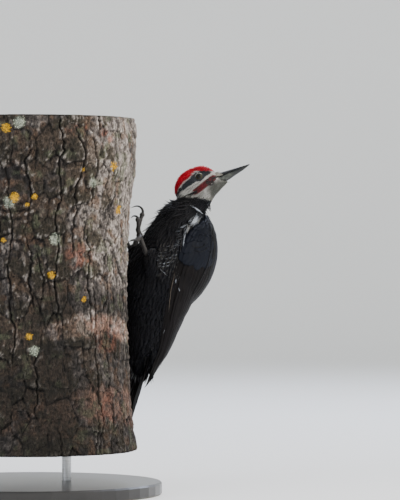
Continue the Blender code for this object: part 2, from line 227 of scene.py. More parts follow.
def ease(value, low, high):
    """0 below low, 1 above high, smooth between; low may be the greater."""
    t = np.clip((value - low) / (high - low), 0, 1)
    return t * t * (3 - 2 * t)


def written(work):
    """A bmesh as a mesh; the bmesh goes."""
    mesh = bpy.data.meshes.new("mesh")
    work.to_mesh(mesh)
    work.free()
    return mesh


def joined(*meshes):
    whole = bmesh.new()
    for mesh in meshes:
        whole.from_mesh(mesh)
    return written(whole)


def node_mesh(*names):
    """The CAD nodes of these names as one merged mesh."""
    whole = bmesh.new()
    for name in names:
        whole.from_mesh(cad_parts[name].data)
    bmesh.ops.remove_doubles(whole, verts=whole.verts, dist=0.02 * MM)
    return written(whole)


def modified(mesh, *steps):
    """The mesh after its modifiers, each given as a type and a map of settings."""
    helper = make_piece("helper", mesh, None)
    for kind, settings in steps:
        modifier = helper.modifiers.new(kind, kind)
        for name, value in settings.items():
            setattr(modifier, name, value)
    graph = bpy.context.evaluated_depsgraph_get()
    result = bpy.data.meshes.new_from_object(helper.evaluated_get(graph))
    bpy.data.objects.remove(helper)
    return result


def remeshed(mesh, voxel, rounds):
    """One closed surface round everything in a mesh, smoothed; sizes in millimetres."""
    return modified(mesh, ("REMESH", {"mode": "VOXEL", "voxel_size": voxel * MM}),
        ("SMOOTH", {"factor": 0.5, "iterations": rounds}))


def lattice(corner, seed):
    """A repeatable value from 0 to 1 for every whole-numbered place."""
    with np.errstate(over="ignore"):
        x, y, z = np.moveaxis(corner, -1, 0)
        h = x * 374761393 + y * 668265263 + z * 2147483647 + seed * 974634777
        h = (h ^ (h >> 13)) * 1274126177
        return ((h ^ (h >> 16)) & 0xFFFFFF) / 0xFFFFFF


def noise(points, scale, seed):
    """Smooth noise from -1 to 1 whose lumps are about scale across (one size, or one for each axis)."""
    places = points / np.asarray(scale, float)
    low = np.floor(places).astype(np.int64)
    part = places - low
    part = part * part * (3 - 2 * part)
    total = 0
    for x in (0, 1):
        for y in (0, 1):
            for z in (0, 1):
                weight = (part[..., 0] if x else 1 - part[..., 0]) * (part[..., 1] if y else 1 - part[..., 1])
                weight = weight * (part[..., 2] if z else 1 - part[..., 2])
                total = total + weight * lattice(low + np.array([x, y, z]), seed)
    return total * 2 - 1


def layered(points, scale, octaves, seed):
    """Noise with finer and weaker noise added, each half as wide."""
    scale = np.asarray(scale, float)
    return sum(noise(points, scale / 2 ** i, seed + i * 7) * 0.5 ** i for i in range(octaves))


class Surface:
    """A closed mesh in millimetres that feathers are laid on."""

    def __init__(self, mesh):
        self.points = points_of(mesh)
        self.triangles = triangles_of(mesh)
        a, b, c = (self.points[self.triangles[:, i]] for i in range(3))
        cross = np.cross(b - a, c - a)
        self.areas = np.linalg.norm(cross, axis=1) / 2
        self.normals = np.zeros_like(self.points)
        for i in range(3):
            np.add.at(self.normals, self.triangles[:, i], cross)
        self.normals = unit(self.normals)
        self.tree = BVHTree.FromPolygons(self.points.tolist(), self.triangles.tolist())

    def near(self, points):
        """The nearest places on the surface and the smooth normals there."""
        hits = [self.tree.find_nearest(p) for p in points.reshape(-1, 3).tolist()]
        places = np.array([h[0] for h in hits])
        corners = self.triangles[[h[2] for h in hits]]
        gaps = np.linalg.norm(self.points[corners] - places[:, None], axis=2)
        weights = 1 / (gaps + 0.1)
        normals = unit((self.normals[corners] * weights[..., None]).sum(1))
        return places.reshape(points.shape), normals.reshape(points.shape)

    def gap(self, points):
        """How far each place is from the surface."""
        return np.array([self.tree.find_nearest(p)[3] for p in points.tolist()])

    def scatter(self, spacing, inside, seed):
        """Places spread over the part of the surface that inside() keeps, no two nearer than the spacing."""
        rng = np.random.default_rng(seed)
        kept = inside(self.points[self.triangles].mean(1))
        areas = np.where(kept, self.areas, 0)
        count = int(areas.sum() / spacing ** 2 * 5)
        faces = rng.choice(len(areas), count, p=areas / areas.sum())
        a, b = rng.random((2, count, 1))
        flip = a + b > 1
        a, b = np.where(flip, 1 - a, a), np.where(flip, 1 - b, b)
        p, q, r = (self.points[self.triangles[faces, i]] for i in range(3))
        places = p + (q - p) * a + (r - p) * b
        cells, chosen = {}, []
        keys = np.floor(places / spacing).astype(int).tolist()
        near = [(x, y, z) for x in (-1, 0, 1) for y in (-1, 0, 1) for z in (-1, 0, 1)]
        limit = spacing ** 2
        for i, (place, (x, y, z)) in enumerate(zip(places.tolist(), keys)):
            others = (q for dx, dy, dz in near for q in cells.get((x + dx, y + dy, z + dz), ()))
            if all((place[0] - q[0]) ** 2 + (place[1] - q[1]) ** 2 + (place[2] - q[2]) ** 2 >= limit
                    for q in others):
                cells.setdefault((x, y, z), []).append(place)
                chosen.append(i)
        return places[chosen]


# ---- the bird's own directions


def centre(node):
    low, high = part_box(node)
    return np.array((low + high) / 2) / MM


BILL_DIP = 5.0  # degrees from the head's long axis down to the bill's tip
EYES = {side: centre("eye_" + side) for side in SIDES}
HEAD_AT = (EYES["left"] + EYES["right"]) / 2


def head_axes():
    """The head's forward, left and up directions, from its eyes and the bill's tip."""
    left = unit(EYES["left"] - EYES["right"])
    reach = points_of(node_mesh("bill_upper")) - HEAD_AT
    tip = reach[np.argmax(np.linalg.norm(reach, axis=1))]
    ahead = unit(tip - left * (tip @ left))
    above = np.cross(ahead, left)
    dip = math.radians(BILL_DIP)
    forward = ahead * math.cos(dip) + above * math.sin(dip)
    return np.array([forward, left, np.cross(forward, left)])


HEAD_AXES = head_axes()
NECK_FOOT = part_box("neck")[0].z / MM  # where neck and trunk meet
HEAD_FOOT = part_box("head")[0].z / MM  # where head and neck meet


def in_head(points):
    """Places as seen from the head: forward, left and up from between the eyes, in millimetres."""
    return (points - HEAD_AT) @ HEAD_AXES.T


def blur(table, rounds):
    for _ in range(rounds):
        table = np.convolve(np.pad(table, 1, mode="edge"), [0.25, 0.5, 0.25], "valid")
    return table


def spine_table():
    """Heights up the trunk and the middle x of the body at each."""
    points = points_of(node_mesh("torso"))
    heights = np.arange(166.0, 360.0, 8.0)
    middles = []
    for height in heights:
        band = points[np.abs(points[:, 2] - height) < 8, 0]
        middles.append((band.min() + band.max()) / 2)
    return heights, blur(middles, 1)


SPINE = spine_table()
SPINE_SLOPE = (SPINE[1][6] - SPINE[1][0]) / (SPINE[0][6] - SPINE[0][0])


def spine_x(height):
    """Middle x of the body at a height; below the trunk it runs straight on."""
    below = np.minimum(height - SPINE[0][0], 0) * SPINE_SLOPE
    return np.interp(height, *SPINE) + below


def spine_at(height):
    """The middle of the body at each height."""
    return np.stack([spine_x(height), 0 * height, height], 1)


def tail_way():
    """Direction of the tail, from its root to its tip."""
    points = points_of(node_mesh("tail"))
    low, high = np.percentile(points[:, 2], (12, 88))
    return unit((points[points[:, 2] <= low].mean(0) - points[points[:, 2] >= high].mean(0)) * [1, 0, 1])


TAIL_WAY = tail_way()
NECK_TWIST = 1.5  # how strongly the turned neck winds its feathers round it
FACE_BLEND = (372.0, 392.0)  # heights over which the lie of the neck turns into that of the head


def lie(points):
    """The way feathers lie at each place: back over the head, round and down the neck, down the body."""
    height = points[:, 2]
    slope = (spine_x(height + 4) - spine_x(height - 4)) / 8
    down = np.stack([-slope, np.zeros_like(height), -np.ones_like(height)], 1)
    out = points * [1, 1, 0]
    out[:, 0] -= np.interp(height, [340, NECK_FOOT, 400], [205, 209, 232])
    around = np.cross(unit(out), [0, 0, 1.0])
    twist = NECK_TWIST * ease(height, 346, 366) * (1 - 0.5 * ease(height, 376, 392))
    body = unit(down + around * twist[:, None])
    rump = ease(height, 222, 185)[:, None]
    body = unit(body * (1 - rump) + TAIL_WAY * rump)
    local = in_head(points)
    drop = 0.25 + 0.9 * ease(local[:, 0], -18, -34)
    head = -HEAD_AXES[0] - HEAD_AXES[2] * drop[:, None]
    for eye in EYES.values():
        away = points - eye
        away -= np.outer(away @ HEAD_AXES[1], HEAD_AXES[1])
        far = np.linalg.norm(away, axis=1, keepdims=True)
        head = head + away / np.maximum(far, 1) * np.exp(-(far / 8) ** 2) * 0.7
    share = ease(height, *FACE_BLEND)[:, None]
    return unit(body * (1 - share) + unit(head) * share)


# ---- markings, shared by skin and coat


def colours():
    """The plumage's colours, as the sidebar holds them."""
    return bpy.context.scene.woodpecker_colours


CAMERA_TURN = math.radians(20)  # the view is this far round from the bird's side
EYE_WIDE = 15.5  # each eye's distance from the head's middle, in millimetres
ROLL = math.radians(15)  # the head's tilt towards the view


def line_gap(x, y, line):
    """Distance of (x, y) from a line through points, and how far along it the nearest place is, 0 to 1."""
    line = np.array(line, float)
    best = np.full(x.shape, 1e9)
    along = np.zeros_like(best)
    runs = np.linalg.norm(np.diff(line, axis=0), axis=1)
    total, done = runs.sum(), 0
    for (ax, ay), (bx, by), run in zip(line, line[1:], runs):
        t = np.clip(((x - ax) * (bx - ax) + (y - ay) * (by - ay)) / run ** 2, 0, 1)
        gap = np.hypot(x - ax - t * (bx - ax), y - ay - t * (by - ay))
        nearer = gap < best
        best = np.where(nearer, gap, best)
        along = np.where(nearer, (done + t * run) / total, along)
        done += run
    return best, along


def side_view(points):
    """Across and up as the markings are drawn on either side of the body."""
    return points[:, 0] * math.cos(CAMERA_TURN) + np.abs(points[:, 1]) * math.sin(CAMERA_TURN), points[:, 2]


def face_view(points):
    """Forward and up as the markings are drawn on either side of the head, from the eye."""
    local = in_head(points)
    wide = np.abs(local[:, 1])
    return local[:, 0], math.cos(ROLL) * local[:, 2] + math.sin(ROLL) * (wide - EYE_WIDE)


BROW_LINE = ((1.5, 7.0), (-3.7, 7.9), (-8.5, 6.2), (-12.7, 3.2), (-20, 1.2), (-27, -2), (-31, -4.5))
CROWN_EDGE = ((30, -4), (22, -1.2), (12, 3.2), (5, 6.0), (1.5, 7.8), (-3.7, 8.4), (-12.7, 3.6), (-20, 1.6),
    (-27, -1.8), (-34, -6.5), (-45, -11))
MASK_LINE = ((14, 0.2), (8, 1.2), (0, 0.5), (-12, -0.8), (-22, -3.4), (-33, -7))
CHEEK_LINE = ((22, -3.5), (10, -4), (2, -6.5), (-9, -9.5), (-19, -11), (-29, -14), (-36, -17))
MALAR_LINE = ((16.3, -8.7), (-12.8, -17))
GAPE_LINE = ((15.5, -9.4), (25, -7.6))
MOUSTACHE = ((-11, -17.4), (-22.3, -17.6))
NECK_EDGE = ((-60, -14), (-33, -17), (-22, -21), (-13, -25), (-6, -29), (1, -34), (20, -60))
SHOULDER_LINE = ((209.8, 367.5), (216, 363.2), (222.8, 358.3))
SHOULDER_PATCH = (211.5, 349.5)
FLANK_LINE = ((165.8, 288.6), (176.8, 278.9))
FLANK_ROWS, TIP_WIDE = 7, 5.4  # rows of pale tips, and one feather's width, in millimetres
WING_STRIP = ((203, 341), (198.3, 323.7), (196.3, 311))
STREAKS = np.array([[0.9, 0, 0.43], [0, 1, 0], [-0.43, 0, 0.9]])  # along, across and off the cheek's streaks


def above_line(x, y, line):
    """How far above a line drawn from front to back, or from back to front, each place is."""
    line = np.array(sorted(line), float)
    return y - np.interp(x, line[:, 0], line[:, 1])


def mix(base, paint, share):
    """Lays a share of a paint, 0 to 1 for each place, over a base."""
    share = np.clip(share, 0, 1)[:, None]
    return base * (1 - share) + colour(paint) * share


def markings(points, rng, loose=0.35):
    """The bird's colours at each place; loose is how far, in millimetres, an edge wanders."""
    count = len(points)
    black, mask_grey, red, deep, malar_red, white, throat = held(colours(),
        "black mask red red_deep malar white throat")
    x, y = face_view(points + rng.normal(0, loose, (count, 3)))
    # painted shade: below the malar stripe the face takes the throat colour, a dark grey-green that stands in
    # for the pale chin and throat in the shade under the head
    face = mix(np.tile(white, (count, 1)), throat,
        ease(above_line(x, y, MALAR_LINE), -3.0, -9.0) * ease(x, -2, 10) * 0.9)
    face = mix(face, throat, 0.35 + 0.35 * noise(points, 3.0, 6))
    cheek, along = line_gap(x, y, CHEEK_LINE)
    face = mix(face, white, ease(cheek, 5.2 + along, 3.6 + along) * (1 - 0.25 * ease(along, 0.3, 0)))
    face = mix(face, throat, ease(np.abs(y - np.interp(x, [-30, -8, 6], [-12.2, -8.2, -5.4])), 1.0, 0.3)
        * ease(x, 4, -4) * ease(x, -28, -20) * 0.6)
    malar, along = line_gap(x, y, MALAR_LINE)
    face = mix(face, malar_red * (0.35 + 1.2 * rng.random((count, 1))), ease(malar, 4.6, 3.4))
    flecks = ease(noise(points, 2.0, 5), -0.4, 0.1) * ease(x, -4, 5)
    face = mix(face, black, flecks * ease(np.hypot(x - 11, (y + 11.5) * 1.1), 8.5, 4.5))
    for line, far, near in ((GAPE_LINE, 1.7, 1.0), (MOUSTACHE, 1.9, 1.1)):
        face = mix(face, black, ease(line_gap(x, y, line)[0], far, near))
    streak = noise(np.stack([in_head(points) @ axis for axis in STREAKS], 1), (7, 1.1, 1.1), 9)
    face = mix(face, throat * 0.5, ease(streak, 0.05, 0.6) * 0.5 * ease(x, 16, 8))
    fray = 2.2 * noise(points, (2.2, 2.2, 5), 7)
    face = mix(face, black, ease(above_line(x, y, NECK_EDGE) + fray, 0.6, -0.8))
    mask, along = line_gap(x, y, MASK_LINE)
    width = np.interp(along, [0, 0.15, 0.3, 0.45, 1], [2.4, 4.8, 7.0, 4.7, 4.3])
    face = mix(face, mask_grey, ease(mask, width + 0.5, width - 0.4))
    brow, along = line_gap(x, y, BROW_LINE)
    face = mix(face, white, ease(brow, 1.2, 0.6))
    crown = red * (0.7 + 0.6 * rng.random((count, 1)))
    low = ease(above_line(x, y, CROWN_EDGE), 5, 0) * ease(x, -8, -26) * 0.6
    face = mix(face, mix(crown, deep, low), ease(above_line(x, y, CROWN_EDGE), -0.3, 0.4))

    q, z = side_view(points + rng.normal(0, loose, (count, 3)))
    body = np.tile(black, (count, 1)) * (0.8 + 0.4 * rng.random((count, 1)))
    patch = np.hypot((q - SHOULDER_PATCH[0]) / 1.4, z - SHOULDER_PATCH[1])
    body = mix(body, white, ease(patch, 5.5, 1.5) * 0.5)
    gap, _ = line_gap(q, z, WING_STRIP)
    body = mix(body, white, ease(gap, 1.4, 0.6) * 0.4)
    share = ease(points[:, 2], HEAD_FOOT - 7, HEAD_FOOT - 1)
    white_throat = ease(in_head(points)[:, 0], -16, -8)
    share = share * (1 - (1 - white_throat) * ease(points[:, 2], HEAD_FOOT + 3, HEAD_FOOT - 2))
    return body * (1 - share[:, None]) + face * share[:, None]


def flank_share(points):
    """Where the black side feathers carry a thin pale fringe."""
    q, z = side_view(points)
    return ease(q, 158, 168) * ease(q, 200, 188) * ease(z, 270, 282) * ease(z, 332, 318)


# ---- feathers as closed vanes

OUTLINES = {  # half width, as a share of the widest, at shares of the length
    "round": ((0, 0.2), (0.15, 0.5), (0.4, 0.92), (0.65, 1), (0.85, 0.85), (0.95, 0.55), (1, 0)),
    "soft": ((0, 0.3), (0.2, 0.8), (0.45, 1), (0.7, 0.85), (0.88, 0.5), (1, 0)),
    "hair": ((0, 0.5), (0.2, 0.9), (0.5, 1), (0.8, 0.6), (1, 0)),
    "remex": ((0, 0.35), (0.1, 0.7), (0.3, 1), (0.8, 0.95), (0.93, 0.7), (0.98, 0.4), (1, 0)),
    "primary": ((0, 0.35), (0.1, 0.8), (0.4, 1), (0.7, 0.8), (0.9, 0.5), (0.97, 0.3), (1, 0)),
    "rectrix": ((0, 0.4), (0.15, 0.8), (0.5, 1), (0.8, 0.8), (0.92, 0.42), (0.97, 0.2), (1, 0)),
}
DIAMOND = ((1, 0), (0, 1), (-1, 0), (0, -0.6))  # a vane's section: across, height
STRAND = ((1, 0), (0, 1), (-1, 0))
HANGING = 230  # below this height the feathers' tips hang free of the body
MOST_VANES = 4000  # more than any one row or set of strands has
SHAFTED = ((1, 0), (0.9, 0.25), (0.5, 0.6), (0.07, 0.7), (0, 1.8), (-0.07, 0.7), (-0.5, 0.6), (-0.9, 0.25),
    (-1, 0), (0, -1))


class Coat:
    """Gathers vanes and makes them one piece, with colours, barb places and a bake map."""

    def __init__(self):
        self.parts = []

    def add(self, spine, up, half, thick, paint, rng, section=DIAMOND, cup=0.0, tilt=0.0):
        """Adds vanes along spine[vane, station]: up is outward, half the half widths, thick the height there.
        paint(places, share of length, across, number of vane) gives their colours."""
        section = np.array(section)
        vanes, stations, _ = spine.shape
        across, height = section[:, 0], section[:, 1]
        ahead = unit(np.gradient(spine, axis=1))
        side = unit(np.cross(up, ahead))
        up = np.cross(ahead, side)
        wide = half[..., None] * across
        rise = thick * height - cup * across ** 2 + wide * tilt
        rings = spine[:, :, None] + side[:, :, None] * wide[..., None] + up[:, :, None] * rise[..., None]
        rings = rings[:, 1:-1]
        count = len(section)
        points = np.concatenate([spine[:, :1], rings.reshape(vanes, -1, 3), spine[:, -1:]], 1)
        lengths = np.linalg.norm(np.diff(spine, axis=1), axis=2).sum(1)
        share = np.linspace(0, 1, stations)
        u = np.concatenate([[0], np.repeat(share[1:-1], count), [1]])
        a = np.concatenate([[0], np.tile(across, stations - 2), [0]])
        whose = np.tile(rng.random((vanes, 1)), (1, len(u)))
        width = np.concatenate([half[:, :1], np.repeat(half[:, 1:-1], count, 1), half[:, -1:]], 1)
        barbs = np.stack([a * width, u * lengths[:, None], whose], 2)
        number = np.repeat(np.arange(vanes), len(u))
        colours = paint(points.reshape(-1, 3), np.tile(u, vanes), np.tile(a, vanes), number)
        patch = np.stack([a / 2, u - 0.5], 1) * PATCH
        self.parts.append((points, stations, count, colours, barbs, patch, spine[:, 0]))

    def build(self, name, material, slot, unwrap, *nodes):
        """Makes the piece, in place of the nodes named; unwrap gives each root's place on the flat skin."""
        points, quads, triangles, first = [], [], [], 0
        roots = np.concatenate([p[6] for p in self.parts])
        flat = unwrap(roots)
        low, high = flat.min(0), flat.max(0)
        bake, done = [], 0
        for places, stations, count, _, _, patch, _ in self.parts:
            vanes, size, _ = places.shape
            ring = np.arange(count)
            after = (ring + 1) % count
            body = ring_faces(stations - 2, count) + 1
            last = 1 + (stations - 3) * count
            ends = np.concatenate([np.stack([0 * ring, 1 + after, 1 + ring], 1),
                np.stack([last + ring, last + after, 0 * ring + size - 1], 1)])
            start = first + np.arange(vanes)[:, None, None] * size
            quads.append((body + start).reshape(-1, 4))
            triangles.append((ends + start).reshape(-1, 3))
            points.append(places.reshape(-1, 3))
            place = 0.01 + 0.98 * (flat[done:done + vanes] - low) / np.maximum(high - low, 1e-6)
            bake.append((place[:, None] + patch).reshape(-1, 2))
            first += vanes * size
            done += vanes
        quads, triangles = np.concatenate(quads), np.concatenate(triangles)
        mesh = make_mesh(name, np.concatenate(points), quads, triangles)
        corners = np.concatenate([quads.ravel(), triangles.ravel()])
        layer = mesh.uv_layers.new(name="OFBake")
        layer.data.foreach_set("uv", np.concatenate(bake)[corners].astype(np.float32).ravel())
        set_points(mesh, "plumage", "FLOAT_COLOR", np.concatenate([p[3] for p in self.parts]))
        set_points(mesh, "barbs", "FLOAT_VECTOR", np.concatenate([p[4].reshape(-1, 3) for p in self.parts]))
        settle(name, mesh, material, slot, *nodes)


def grow(surface, roots, length, depth, lift, stations, turn, curl=1.3):
    """Midlines of feathers on a surface: each starts depth under it and ends lift above it."""
    share = np.linspace(0, 1, stations)
    place, normal = surface.near(roots)
    spine, ups = [], []
    for u in share:
        rise = -depth * (1 - u) ** curl - 0.15 + lift * u ** 2
        spine.append(place + normal * rise[:, None])
        ups.append(normal)
        way = lie(place)
        way = unit(way - normal * (way * normal).sum(1, keepdims=True))
        way = way * np.cos(turn)[:, None] + np.cross(normal, way) * np.sin(turn)[:, None]
        ahead = place + way * length[:, None] / (stations - 1)
        place, found = surface.near(ahead)
        free = ease(-found[:, 2], 0.2, 0.5)[:, None] * (ahead[:, 2:] < HANGING)
        place = place * (1 - free) + ahead * free
        normal = unit(found * (1 - free) + normal * free)
    return np.stack(spine, 1), np.stack(ups, 1)


def sample(table, share):
    """Values of table[vane, station] at shares of each vane's length, share[vane, place]."""
    stations = table.shape[1]
    at = np.clip(share, 0, 1) * (stations - 1)
    low = np.minimum(at.astype(int), stations - 2)
    part = (at - low)[..., None]
    rows = np.arange(len(table))[:, None]
    return table[rows, low] * (1 - part) + table[rows, low + 1] * part


def add_barbs(coat, spine, up, half, count, paint, rng, rise, cup, wide=0.26, reach=0.34):
    """Loose barbs over a vane: fine strands slanting from the shaft to its edge and a little past it."""
    vanes = len(spine)
    ahead = unit(np.gradient(spine, axis=1))
    side = unit(np.cross(up, ahead))
    lengths = np.linalg.norm(np.diff(spine, axis=1), axis=2).sum(1)
    start = np.tile(np.linspace(0.06, 0.86, count), (vanes, 1)) + rng.uniform(-0.04, 0.04, (vanes, count))
    sign = np.where(np.arange(count) % 2, 1, -1) * np.ones((vanes, 1))
    span = reach * rng.uniform(0.8, 1.25, (vanes, count))
    edge = np.maximum(np.interp(start + span * 0.8, *np.transpose(OUTLINES["soft"])), 0.12)
    edge = edge * rng.uniform(0.8, 1.15, (vanes, count))
    steps = np.array([0, 0.3, 0.68, 1.0])
    share = (start[..., None] + span[..., None] * steps).reshape(vanes, -1)
    across = (sign * edge)[..., None] * steps ** 1.15
    across = (across * half[:, None, None]).reshape(vanes, -1)
    height = rise * (0.6 + np.tile(np.sin(steps * 2.4) * 0.8, count)) * rng.uniform(0.6, 1.4, (vanes, 1))
    past = np.maximum(share - 1, 0)[..., None] * lengths[:, None, None]
    place = sample(spine, share) + sample(ahead, share) * past
    place = place + sample(side, share) * across[..., None]
    drop = cup * (across / half[:, None]) ** 2
    normals = unit(sample(up, share))
    place = place + normals * (height - drop)[..., None]
    owner = np.repeat(np.arange(vanes), count)
    from_root = start.reshape(-1)

    def paint_barb(points, u, a, number):
        return paint(points, np.clip(from_root[number] + 0.34 * u, 0, 1), u, owner[number])

    widths_ = wide * np.array([0.7, 1.0, 0.75, 0.1]) * rng.uniform(0.8, 1.2, (vanes * count, 1))
    coat.add(place.reshape(vanes * count, 4, 3), normals.reshape(vanes * count, 4, 3), widths_, 0.14,
        paint_barb, rng, section=STRAND)


def on_side(surface, lines, sign):
    """Places on one side of the body under points given as across and up in the side view."""
    right = Vector((math.cos(CAMERA_TURN), -math.sin(CAMERA_TURN), 0))
    away = Vector((math.sin(CAMERA_TURN), math.cos(CAMERA_TURN), 0))
    places = []
    for across, height in lines:
        start = right * across + Vector((0, 0, height)) - away * 250
        way = away.copy()
        if sign > 0:
            start.y, way.y = -start.y, -way.y
        hit = surface.tree.ray_cast(start, way)
        place = hit[0] if hit[0] is not None else start + way * 230
        places.append(place)
    return surface.near(np.array(places))


def add_strokes(coat, surface, line, count, spread, half, paint, rng, lift, stations, overlap):
    """Fine pale strands drawn along a line of the side view, on both sides of the body."""
    line = np.array(line, float)
    runs = np.concatenate([[0], np.cumsum(np.linalg.norm(np.diff(line, axis=0), axis=1))])
    for sign in (-1, 1):
        starts = rng.uniform(0, 1 - overlap, count)
        t = starts[:, None] + np.linspace(0, overlap, stations)[None]
        shift = rng.normal(0, spread, (count, 1, 2))
        shift = shift + np.linspace(0, 1, stations)[:, None] * rng.normal(0, spread * 0.6, (count, 1, 2))
        flat = np.stack([np.interp(t * runs[-1], runs, line[:, i]) for i in (0, 1)], 2) + shift
        places, normals = (found.reshape(count, stations, 3)
            for found in on_side(surface, flat.reshape(-1, 2).tolist(), sign))
        spine = places + normals * (lift * rng.uniform(0.4, 1.2, (count, 1, 1)))
        wide = widths("hair", np.full(count, half), stations, rng, 0.1)
        coat.add(spine, normals, wide, 0.16, paint, rng, section=STRAND)


def widths(outline, half, stations, rng, ragged=0.0):
    """Half widths at each station of each vane; ragged makes them uneven."""
    base = np.interp(np.linspace(0, 1, stations), *np.transpose(OUTLINES[outline]))
    return half[:, None] * base * (1 + ragged * rng.uniform(-1, 1, (len(half), stations)))


def unwrap_trunk(roots):
    """The trunk's skin laid flat: angle round the spine and height."""
    return np.stack([np.arctan2(roots[:, 1], roots[:, 0] - spine_x(roots[:, 2])), roots[:, 2]], 1)


def unwrap_head(roots):
    """The head's skin laid flat: angle round its long axis, and how far forward."""
    local = in_head(roots)
    return np.stack([np.arctan2(local[:, 1], -local[:, 2] - 8), local[:, 0]], 1)


# ---- finishes of the bird


def plumage(name, roughness, sheen, barb, relief, contrast, gloss):
    """Feather keratin: slanting barbs break the light into fine lines; barb is their spacing in mm."""
    # black with a silky sheen: light runs along the barbs, which are drawn coarser than real ones to show
    material, tree = finish(name, Roughness=roughness, Sheen_Weight=sheen, Sheen_Roughness=0.4,
        Sheen_Tint=(*hex_linear("#8d97b5"), 1), Specular_IOR_Level=gloss)
    paint = add_node(tree, "Attribute", "plumage")
    barbs = add_node(tree, "Attribute", "barbs")
    place = add_node(tree, "SeparateXYZ", i0=barbs.outputs["Vector"])
    across = add_node(tree, "Math", "ABSOLUTE", i0=place)
    slant = add_node(tree, "Math", "MULTIPLY_ADD", i0=across, i1=-1.2, i2=place.outputs[1])
    turns = add_node(tree, "Math", "MULTIPLY", i0=slant, i1=math.tau / barb)
    wave = add_node(tree, "Math", "SINE", i0=turns)
    shade = add_node(tree, "Math", "MULTIPLY_ADD", i0=wave, i1=contrast, i2=1 - contrast / 2)
    tone = add_node(tree, "VectorMath", "SCALE", i0=paint, Scale=shade)
    dress(tree, tone, wave, relief, 0.08)
    return material


def bare_skin():
    """Skin under feathers: matt and slightly pebbled, in the colours of the feathers that it carries."""
    # only glimpsed between feathers, so it takes their colour and no shine
    material, tree = finish("skin under feathers", Roughness=0.62)
    dress(tree, add_node(tree, "Attribute", "plumage"), add_node(tree, "TexVoronoi", grain=0.9), 0.4, 0.2)
    return material


# ---- skin

FLESH = ("head", "crest", "neck", "torso", "thigh_left", "thigh_right")
LID_RADIUS = 4.05  # the opening between the lids
ARM_END = 238.0  # height at which the folded arm's flesh ends
EYE_RADIUS = (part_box("eye_left")[1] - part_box("eye_left")[0]).z / MM / 2
BILL = Surface(node_mesh("bill_upper", "bill_lower"))


def coat_depth(points):
    """How deep the skin lies under the coat's outline."""
    local = in_head(points)
    crown = ease(above_line(*face_view(points), CROWN_EDGE), -1, 2) * ease(local[:, 0], 18, 4)
    head = 1.15 + 1.3 * crown - 0.6 * ease(local[:, 0], 12, 20)
    thigh = ease(points[:, 0], 172, 160) * ease(points[:, 2], 270, 285) * ease(points[:, 2], 335, 320)
    body = 4.4 - 1.6 * thigh
    share = ease(points[:, 2], HEAD_FOOT - 4, HEAD_FOOT + 8)
    return body * (1 - share) + head * share


def arm_pad(side):
    """The folded wing's flesh, from the CAD wing: pressed towards the body, under the wing's feathers."""
    mesh = node_mesh("wing_" + side)
    arm = Surface(mesh)
    height = arm.points[:, 2]
    out = arm.points - spine_at(height)
    thick = np.linalg.norm(out, axis=1)
    out = unit(out)
    outside = (arm.normals * out).sum(1) > 0
    low = 24 * ease(height, 262, 218)
    moved = arm.points - out * np.minimum(np.where(outside, 2.7, 5.2) + low, thick * 0.8)[:, None]
    raised = np.maximum(height, ARM_END)
    moved[:, 0] += spine_x(raised) - spine_x(height)
    moved[:, 2] = raised
    place_points(mesh, moved)
    return mesh


def near_eye(points, side):
    """How far places are from an eye's axis, and how far out along it, in millimetres."""
    away = points - EYES[side]
    along = away @ HEAD_AXES[1] * -SIDES[side]
    return np.sqrt(np.maximum((away ** 2).sum(1) - along ** 2, 0)), along


def refine(mesh, inside, rounds):
    """Splits the faces that inside() keeps."""
    fine = bmesh.new()
    fine.from_mesh(mesh)
    for _ in range(rounds):
        middles = np.array([f.calc_center_median() for f in fine.faces]) / MM
        kept = inside(middles)
        edges = {e for f, k in zip(list(fine.faces), kept) if k for e in f.edges}
        bmesh.ops.subdivide_edges(fine, edges=list(edges), cuts=1, use_grid_fill=True)
    bmesh.ops.triangulate(fine, faces=[f for f in fine.faces if len(f.verts) > 4])
    fine.to_mesh(mesh)
    fine.free()


def shape_lids(points):
    """Draws the skin round each eye up into two lids that hug the ball."""
    moved = points.copy()
    for side in SIDES:
        across, along = near_eye(points, side)
        outward = -SIDES[side] * HEAD_AXES[1]
        fore = (points - EYES[side]) @ HEAD_AXES[0]
        opening = LID_RADIUS + 0.25 * np.cos(np.arctan2((points - EYES[side]) @ HEAD_AXES[2], fore) * 2)
        hug = EYE_RADIUS + 0.55
        rim = np.sqrt(np.maximum(hug ** 2 - np.clip(across, opening, hug - 0.4) ** 2, 0))
        sunk = -1.0
        height = np.where(across < opening - 0.35, sunk, rim)
        share = ease(across, opening + 2.6, opening + 0.2) * (along > 0)
        moved += outward * ((height - along) * share)[:, None]
    return moved


def build_skin():
    """One skin for head, neck, trunk, thighs and folded arms, under the coat by the coat's depth."""
    outline = remeshed(node_mesh(*FLESH, "eye_left", "eye_right"), 1.3, 5)
    envelope = Surface(outline)
    depth = coat_depth(envelope.points)
    for i, (place, inward) in enumerate(zip(envelope.points, -envelope.normals)):  # where the flesh is thin
        gap = envelope.tree.ray_cast(Vector(place + inward * 0.3), Vector(inward), depth[i] * 2.5)[3]
        if gap is not None:
            depth[i] = min(depth[i], gap * 0.4)
    inner = envelope.points - envelope.normals * depth[:, None]
    place_points(outline, inner)
    mesh = remeshed(joined(outline, arm_pad("left"), arm_pad("right")), 1.3, 3)

    def eye_region(middles):
        kept = np.zeros(len(middles), bool)
        for side in SIDES:
            across, along = near_eye(middles, side)
            kept |= (across < 7.5) & (along > 0)
        return kept

    refine(mesh, eye_region, 2)
    points = shape_lids(points_of(mesh))
    place_points(mesh, points)
    rng = np.random.default_rng(3)
    paint = markings(points, rng, 0.1) * 0.8
    for side in SIDES:
        across, along = near_eye(points, side)
        above = ease((points - EYES[side]) @ HEAD_AXES[2], 0.5, 3.5)
        paint = mix(paint, "#1f2021", ease(across, 6.4, 5.6) * (along > 0))
        paint = mix(paint, "#a3a49d", ease(np.abs(across - 4.9), 0.7, 0.3) * above * (along > 0))
    set_points(mesh, "plumage", "FLOAT_COLOR", paint)
    settle("skin", mesh, bare_skin(), "black_plumage", *FLESH, "wing_left", "wing_right")
    return envelope


